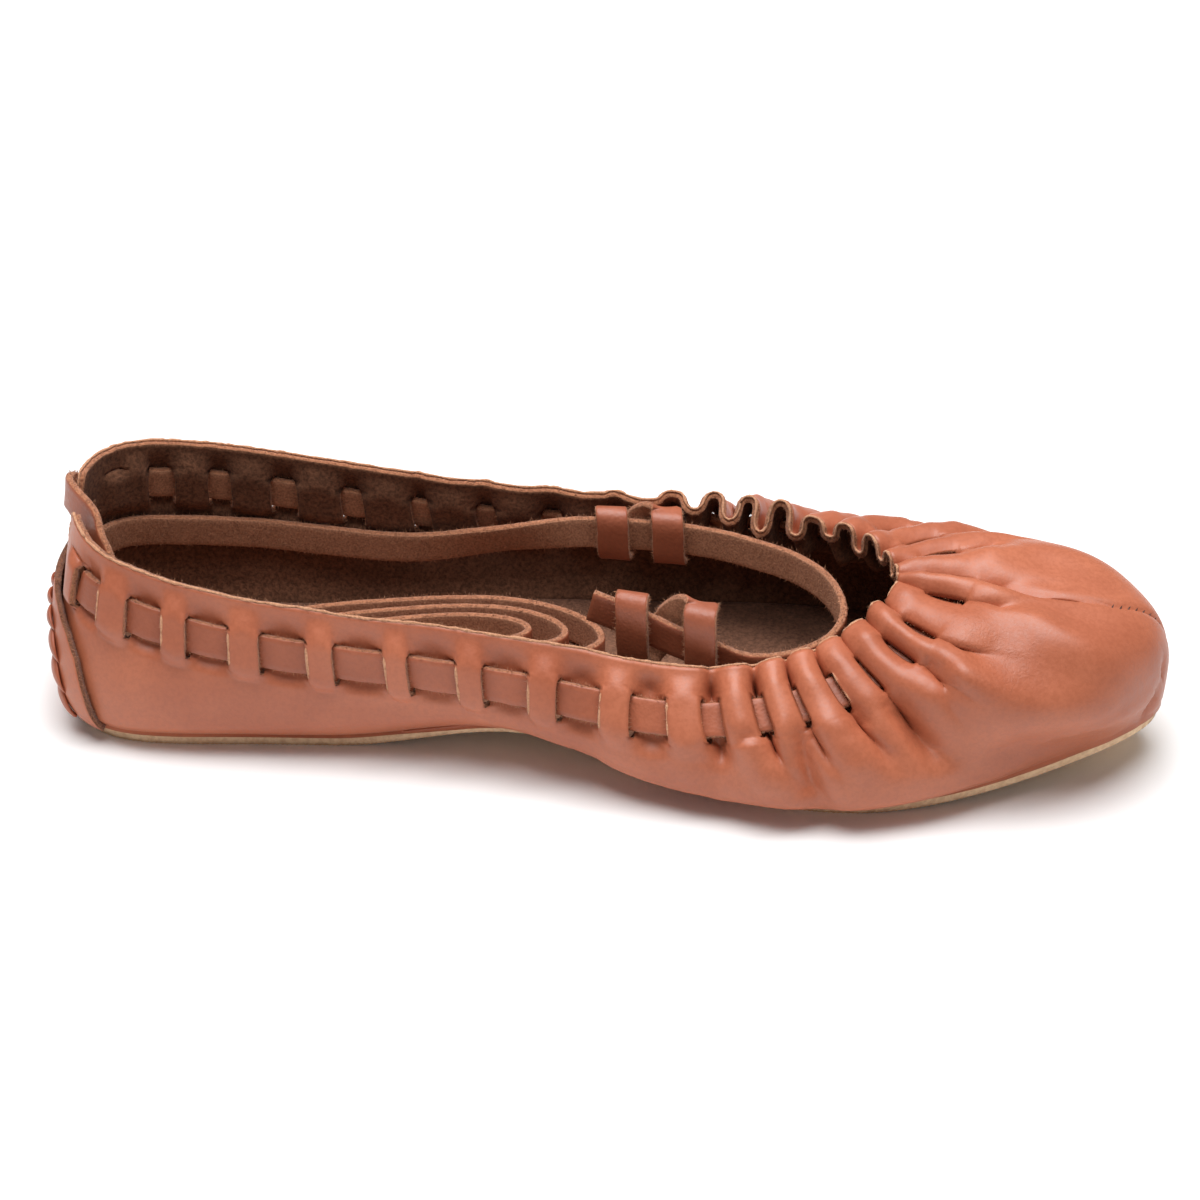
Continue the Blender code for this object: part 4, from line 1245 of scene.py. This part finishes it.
def build_thong(materials):
    """Overlapping stitches, each a leaf of twisted thong that comes out and dives under the next."""
    line = thong_line()
    length = line_length(line)
    pitch = length[-1] / THONG_STITCHES
    points, faces = [], []
    steps, ring = 17, 12
    share = np.linspace(0, 1, steps)
    swell = np.sin(math.pi * np.clip(share, THONG_TIP, 1 - THONG_TIP)) ** THONG_ROUNDNESS
    half = 0.5 * THONG_WIDTH * swell
    seat = COUNTER_OUT + 0.5 * COUNTER_LEATHER
    lift = seat + THONG_LIFT * swell * (1 - THONG_DIVE * share) - THONG_SEAT
    roll = THONG_TWIST * (share - 0.5)
    for stitch in range(THONG_STITCHES):
        reach = np.clip((stitch + 0.5 + (share - 0.5) * THONG_OVERLAP) * pitch, 0, length[-1])
        place = along_line(reach, length, line)
        along = unit(np.gradient(place, axis=0))
        side = np.column_stack([-along[:, 1], along[:, 0]])
        place = place + side * (THONG_SLANT * (share - 0.5) * 2)[:, None]
        index = len(points) + np.arange(steps * ring).reshape(ring, steps)
        for angle in np.linspace(0, 2 * math.pi, ring, endpoint=False):
            across, up = math.cos(angle), 0.5 * THONG * math.sin(angle)
            arc = place[:, 0] + side[:, 0] * across * half
            tall = place[:, 1] + side[:, 1] * across * half
            points.extend(on_heel(arc, tall, lift + up * swell + roll * across * swell))
        faces += faces_between(index, np.roll(index, -1, axis=0))
        faces += [tuple(index[:, 0]), tuple(index[::-1, -1])]
    piece = add_piece("counter_thong_stitches", points, faces, materials)
    add_attribute(piece, "fold", np.zeros(len(points)))
    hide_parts("counter_thong")


# Soles


def even_turns(first, last, margin, count):
    """Turns at even steps along the edge of the sole."""
    fine = np.linspace(first, last, EVEN_SAMPLES)
    length = line_length(sole_edge(fine, margin))
    return np.interp(np.linspace(0, length[-1], count), length, fine)


def half_edge_length(margin):
    """Length of the edge of a sole on one side of the foot."""
    return line_length(sole_edge(np.linspace(0, 0.5, SOLE_SAMPLES), margin))[-1]


def sole_sheet(margin, count):
    """Plan of a sole as rows across it, from the heel to the toe."""
    inner = sole_edge(even_turns(0.0, 0.5, margin, count), margin)
    outer = sole_edge(even_turns(1.0, 0.5, margin, count), margin)
    across = (0.5 - 0.5 * np.cos(np.linspace(0, math.pi, SOLE_ACROSS)))[None, :, None]
    return inner[:, None] * (1 - across) + outer[:, None] * across


def closed_sheet(name, plans, heights, bulge, materials):
    """Closed sheet through a plan at each height. The edge of each stands out by its bulge."""
    rings = []
    for plan, height, out in zip(plans, heights, bulge):
        away = plan - plan.mean(axis=1, keepdims=True)
        moved = plan.copy()
        for column in (0, -1):
            moved[:, column] += unit(away[:, column]) * np.asarray(out).reshape(-1, 1)
        z = sole_lift(moved[..., 0], moved[..., 1]) + np.broadcast_to(height, plan.shape[:2])
        rings.append(np.concatenate([moved, z[..., None]], -1))
    points = np.array(rings)
    index = np.arange(points[..., 0].size).reshape(points.shape[:3])
    sheets = (index[0].T, index[-1], index[:, :, 0].T, index[:, :, -1])
    faces = [face for sheet in sheets for face in faces_between(sheet, sheet[1:])]
    piece = add_piece(name, points.reshape(-1, 3), faces, materials)
    mesh = bmesh.new()
    mesh.from_mesh(piece.data)
    bmesh.ops.remove_doubles(mesh, verts=mesh.verts, dist=SOLE_WELD * MM)
    loose = [vert for vert in mesh.verts if not vert.link_faces]
    bmesh.ops.delete(mesh, geom=loose, context="VERTS")
    bmesh.ops.recalc_face_normals(mesh, faces=mesh.faces)
    mesh.to_mesh(piece.data)
    mesh.free()
    return piece


def build_outsole(materials):
    """Thin crepe sole with a serrated lower edge."""
    half_edge = half_edge_length(OUTSOLE_MARGIN)
    count = int(half_edge * SOLE_POINTS_PER_MM)
    plan = sole_sheet(OUTSOLE_MARGIN, count)
    inset = sole_sheet(OUTSOLE_MARGIN - SOLE_STEP_INSET, count)
    along = np.linspace(0, half_edge, count)
    ribs = RIB_DEPTH * (0.5 + 0.5 * np.sin(2 * math.pi * along / RIB_PITCH))
    step = OUTSOLE - sole_step(plan[..., 0], plan[..., 1])
    plans = [inset, inset] + [plan] * len(SOLE_ROWS)
    heights = [OUTSOLE, step] + [row.height * step for row in SOLE_ROWS]
    bulge = [0.0, 0.0] + [row.out + row.rib * ribs for row in SOLE_ROWS]
    piece = closed_sheet("outsole_crepe", plans, heights, bulge, materials)
    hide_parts("outsole")


def build_insole(materials):
    """Thin suede insole, a little uneven on top."""
    plan = sole_sheet(-INSOLE_INSET, int(half_edge_length(-INSOLE_INSET) / INSOLE_STEP))
    bottom = OUTSOLE + GAP
    lumps = rough(np.concatenate([plan, 0 * plan[..., :1]], -1), INSOLE_LUMPS)
    top = bottom + INSOLE + INSOLE_LUMPS.depth * lumps
    heights = [top, bottom + 0.5 * INSOLE, bottom]
    piece = closed_sheet("insole_suede", [plan] * len(heights), heights, INSOLE_BULGE, materials)
    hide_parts("insole")


# Materials


def new_material(name, roughness, specular=0.4, coat=0.0, coat_roughness=0.4, sheen=0.0):
    made = bpy.data.materials.new(name)
    made.use_nodes = True
    shader = made.node_tree.nodes["Principled BSDF"]
    values = {
        "Roughness": roughness,
        "Specular IOR Level": specular,
        "Coat Weight": coat,
        "Coat Roughness": coat_roughness,
        "Sheen Weight": sheen,
    }
    for socket, value in values.items():
        shader.inputs[socket].default_value = value
    return made, shader


class Nodes:
    """New material, with short calls that add nodes to it."""

    def __init__(self, name, **settings):
        self.made, self.shader = new_material(name, **settings)
        self.tree = self.made.node_tree
        self.place = self.add("ShaderNodeTexCoord").outputs["Object"]
        self.normal = None

    def fill(self, socket, value):
        """Links an output to a socket, or sets the socket to a value."""
        if isinstance(value, bpy.types.NodeSocket):
            self.tree.links.new(value, socket)
        else:
            socket.default_value = value

    def add(self, kind, inputs=None, **settings):
        """New node, with values or outputs for its inputs."""
        node = self.tree.nodes.new(kind)
        for name, value in settings.items():
            setattr(node, name, value)
        for socket, value in (inputs or {}).items():
            self.fill(node.inputs[socket], value)
        return node

    def noise(self, scale, detail=4.0, roughness=0.55, distortion=0.0):
        inputs = {"Vector": self.place, "Scale": scale, "Detail": detail, "Roughness": roughness,
                  "Distortion": distortion}
        return self.add("ShaderNodeTexNoise", inputs).outputs["Fac"]

    def cells(self, scale, smoothness=0.6):
        inputs = {"Vector": self.place, "Scale": scale, "Smoothness": smoothness}
        return self.add("ShaderNodeTexVoronoi", inputs, feature="SMOOTH_F1").outputs["Distance"]

    def attribute(self, name):
        return self.add("ShaderNodeAttribute", attribute_name=name).outputs["Fac"]

    def spread(self, value, from_low, from_high, to_low=0.0, to_high=1.0):
        """Output moved smoothly from one range of values to another."""
        inputs = {"Value": value, "From Min": from_low, "From Max": from_high, "To Min": to_low,
                  "To Max": to_high}
        return self.add("ShaderNodeMapRange", inputs, interpolation_type="SMOOTHSTEP").outputs["Result"]

    def mix(self, factor, first, second):
        """Colour between two colours or outputs."""
        inputs = {"Factor": factor}
        for socket, colour in zip(MIX_COLOURS, (first, second)):
            inputs[socket] = colour + (1,) if isinstance(colour, tuple) else colour
        return self.add("ShaderNodeMix", inputs, data_type="RGBA").outputs[MIX_RESULT]

    def times(self, first, second):
        return self.add("ShaderNodeMath", {0: first, 1: second}, operation="MULTIPLY").outputs["Value"]

    def bump(self, height, strength, distance):
        """Relief on top of any relief added before."""
        inputs = {"Strength": strength, "Distance": distance * MM, "Height": height}
        if self.normal is not None:
            inputs["Normal"] = self.normal
        self.normal = self.add("ShaderNodeBump", inputs).outputs["Normal"]

    def finish(self, colour, roughness=None):
        for socket, value in (("Base Color", colour), ("Roughness", roughness), ("Normal", self.normal)):
            if value is not None:
                self.fill(self.shader.inputs[socket], value)
        return self.made


def grain_leather(name, light, middle, dark, pebble=0.09):
    """Smooth aniline leather: cloudy colour, fine pebble, faint wrinkles, and painted shade in the folds."""
    n = Nodes(name, roughness=0.45, specular=0.42, coat=0.2, coat_roughness=0.36)
    clouds = n.spread(n.noise(38, detail=3), 0.35, 0.68)
    pores = n.noise(900, detail=5, roughness=0.65)
    wrinkles = n.noise(650, detail=5, roughness=0.6, distortion=1.4)
    colour = n.mix(clouds, middle, light)
    colour = n.mix(n.spread(pores, 0.35, 0.62, 0.16, 0.0), colour, dark)
    # Painted shade: darker where the gathered leather swings in, in the troughs and pits of the pleats
    colour = n.mix(n.spread(n.attribute("fold"), -0.8, -4.5, 0.0, 0.6), colour, dark)
    n.bump(n.times(wrinkles, n.attribute("wrinkle")), strength=0.5, distance=0.4)
    n.bump(n.noise(210, detail=6, roughness=0.6, distortion=0.9), strength=0.30, distance=0.13)
    n.bump(n.cells(1500), strength=0.30, distance=pebble)
    n.bump(pores, strength=0.22, distance=0.06)
    return n.finish(colour, n.spread(pores, 0.3, 0.7, 0.40, 0.56))


def flesh_suede(name, light, dark, scale=1100):
    """Napped flesh side of the leather."""
    n = Nodes(name, roughness=0.95, specular=0.1, sheen=0.05)
    nap = n.noise(scale, detail=8, roughness=0.72)
    patches = n.noise(70, roughness=0.6)
    colour = n.mix(n.spread(nap, 0.33, 0.66), dark, light)
    colour = n.mix(n.spread(patches, 0.4, 0.75, 0.0, 0.3), colour, dark)
    n.bump(nap, strength=0.9, distance=0.4)
    n.bump(n.noise(2400, roughness=0.7), strength=0.5, distance=0.2)
    return n.finish(colour)


def cut_edge(name, light, dark):
    """Raw edge of cut leather, fibrous and lighter than the grain."""
    n = Nodes(name, roughness=0.9, specular=0.2, sheen=0.2)
    fibres = n.noise(1900, detail=7, roughness=0.75)
    n.bump(fibres, strength=1.0, distance=0.5)
    return n.finish(n.mix(n.spread(fibres, 0.32, 0.62), dark, light))


def crepe(name, light, dark):
    """Pale crepe rubber with a fine crumb."""
    n = Nodes(name, roughness=0.7, specular=0.3)
    crumb = n.noise(700, detail=5, roughness=0.6)
    colour = n.mix(n.spread(crumb, 0.35, 0.65), dark, light)
    colour = n.mix(n.spread(n.noise(45, detail=3), 0.5, 0.8, 0.0, 0.4), colour, dark)
    n.bump(crumb, strength=0.4, distance=0.15)
    return n.finish(colour)


# Stage


def build_light():
    """One broad soft light above the shoe."""
    data = bpy.data.lights.new("overhead_softbox", "AREA")
    data.shape = "RECTANGLE"
    data.size, data.size_y = LIGHT_SIZE
    data.energy = LIGHT_POWER
    light = bpy.data.objects.new("overhead_softbox", data)
    light.location = LIGHT_PLACE
    light.rotation_euler = (Vector(LIGHT_TARGET) - Vector(LIGHT_PLACE)).to_track_quat("-Z", "Y").to_euler()
    bpy.context.scene.collection.objects.link(light)


def build_stage():
    """Pale floor, and pale light from all round."""
    floor = bpy.data.objects.new("floor", bpy.data.meshes.new("floor"))
    corners = [(-1, -1), (1, -1), (1, 1), (-1, 1)]
    floor.data.from_pydata([(x * FLOOR_HALF, y * FLOOR_HALF, 0) for x, y in corners], [], [(0, 1, 2, 3)])
    made, shader = new_material("floor_paper", roughness=0.9, specular=0.1)
    shader.inputs["Base Color"].default_value = FLOOR_COLOUR
    floor.data.materials.append(made)
    bpy.context.scene.collection.objects.link(floor)
    world = bpy.data.worlds.new("studio")
    world.use_nodes = True
    sky = world.node_tree.nodes["Background"]
    sky.inputs["Color"].default_value = SKY_COLOUR
    sky.inputs["Strength"].default_value = SKY_STRENGTH
    bpy.context.scene.world = world
    bpy.context.scene.view_settings.view_transform = "Standard"


def build_camera():
    azimuth, elevation = math.radians(CAMERA_AZIMUTH), math.radians(CAMERA_ELEVATION)
    back = Vector((math.sin(azimuth) * math.cos(elevation), -math.cos(azimuth) * math.cos(elevation),
                   math.sin(elevation)))
    data = bpy.data.cameras.new("camera")
    data.lens = CAMERA_LENS
    data.shift_x, data.shift_y = CAMERA_SHIFT
    camera = bpy.data.objects.new("camera", data)
    camera.location = Vector(in_frame(CAMERA_TARGET)) + back * CAMERA_DISTANCE * MM
    camera.rotation_euler = (-back).to_track_quat("-Z", "Y").to_euler()
    bpy.context.scene.collection.objects.link(camera)
    bpy.context.scene.camera = camera


def main():
    build_camera()
    build_stage()
    build_light()
    tan = grain_leather("tan_leather", *TAN_TONES)
    strap_tan = grain_leather("strap_leather", *STRAP_TONES, pebble=STRAP_PEBBLE)
    flesh = flesh_suede("flesh_suede", *FLESH_TONES)
    strap_flesh_lit = flesh_suede("strap_flesh_lit", *STRAP_FLESH_LIT_TONES, scale=STRAP_NAP_SCALE)
    edge = cut_edge("cut_edge", *EDGE_TONES)
    fibre = [cut_edge("edge_fibres", *FIBRE_TONES)]
    edges, lit_raw_edges = build_upper([tan, flesh, edge])
    build_fibres("upper_fibres", edges, LEATHER, fibre)
    build_beads("upper_raw_edges", lit_raw_edges, [cut_edge("raw_edge", *LIT_RAW_EDGE_TONES)])
    build_straps([strap_tan, strap_flesh_lit, edge], fibre)
    counter_edges = build_counter([tan, flesh, cut_edge("counter_edge", *COUNTER_EDGE_TONES)])
    build_fibres("counter_fibres", counter_edges, COUNTER_LEATHER, fibre)
    build_thong([strap_tan])
    build_stitches([cut_edge("seam_thread", *THREAD_TONES)])
    build_outsole([crepe("crepe_rubber", *CREPE_TONES)])
    build_insole([flesh_suede("insole_nap", *INSOLE_TONES)])


main()
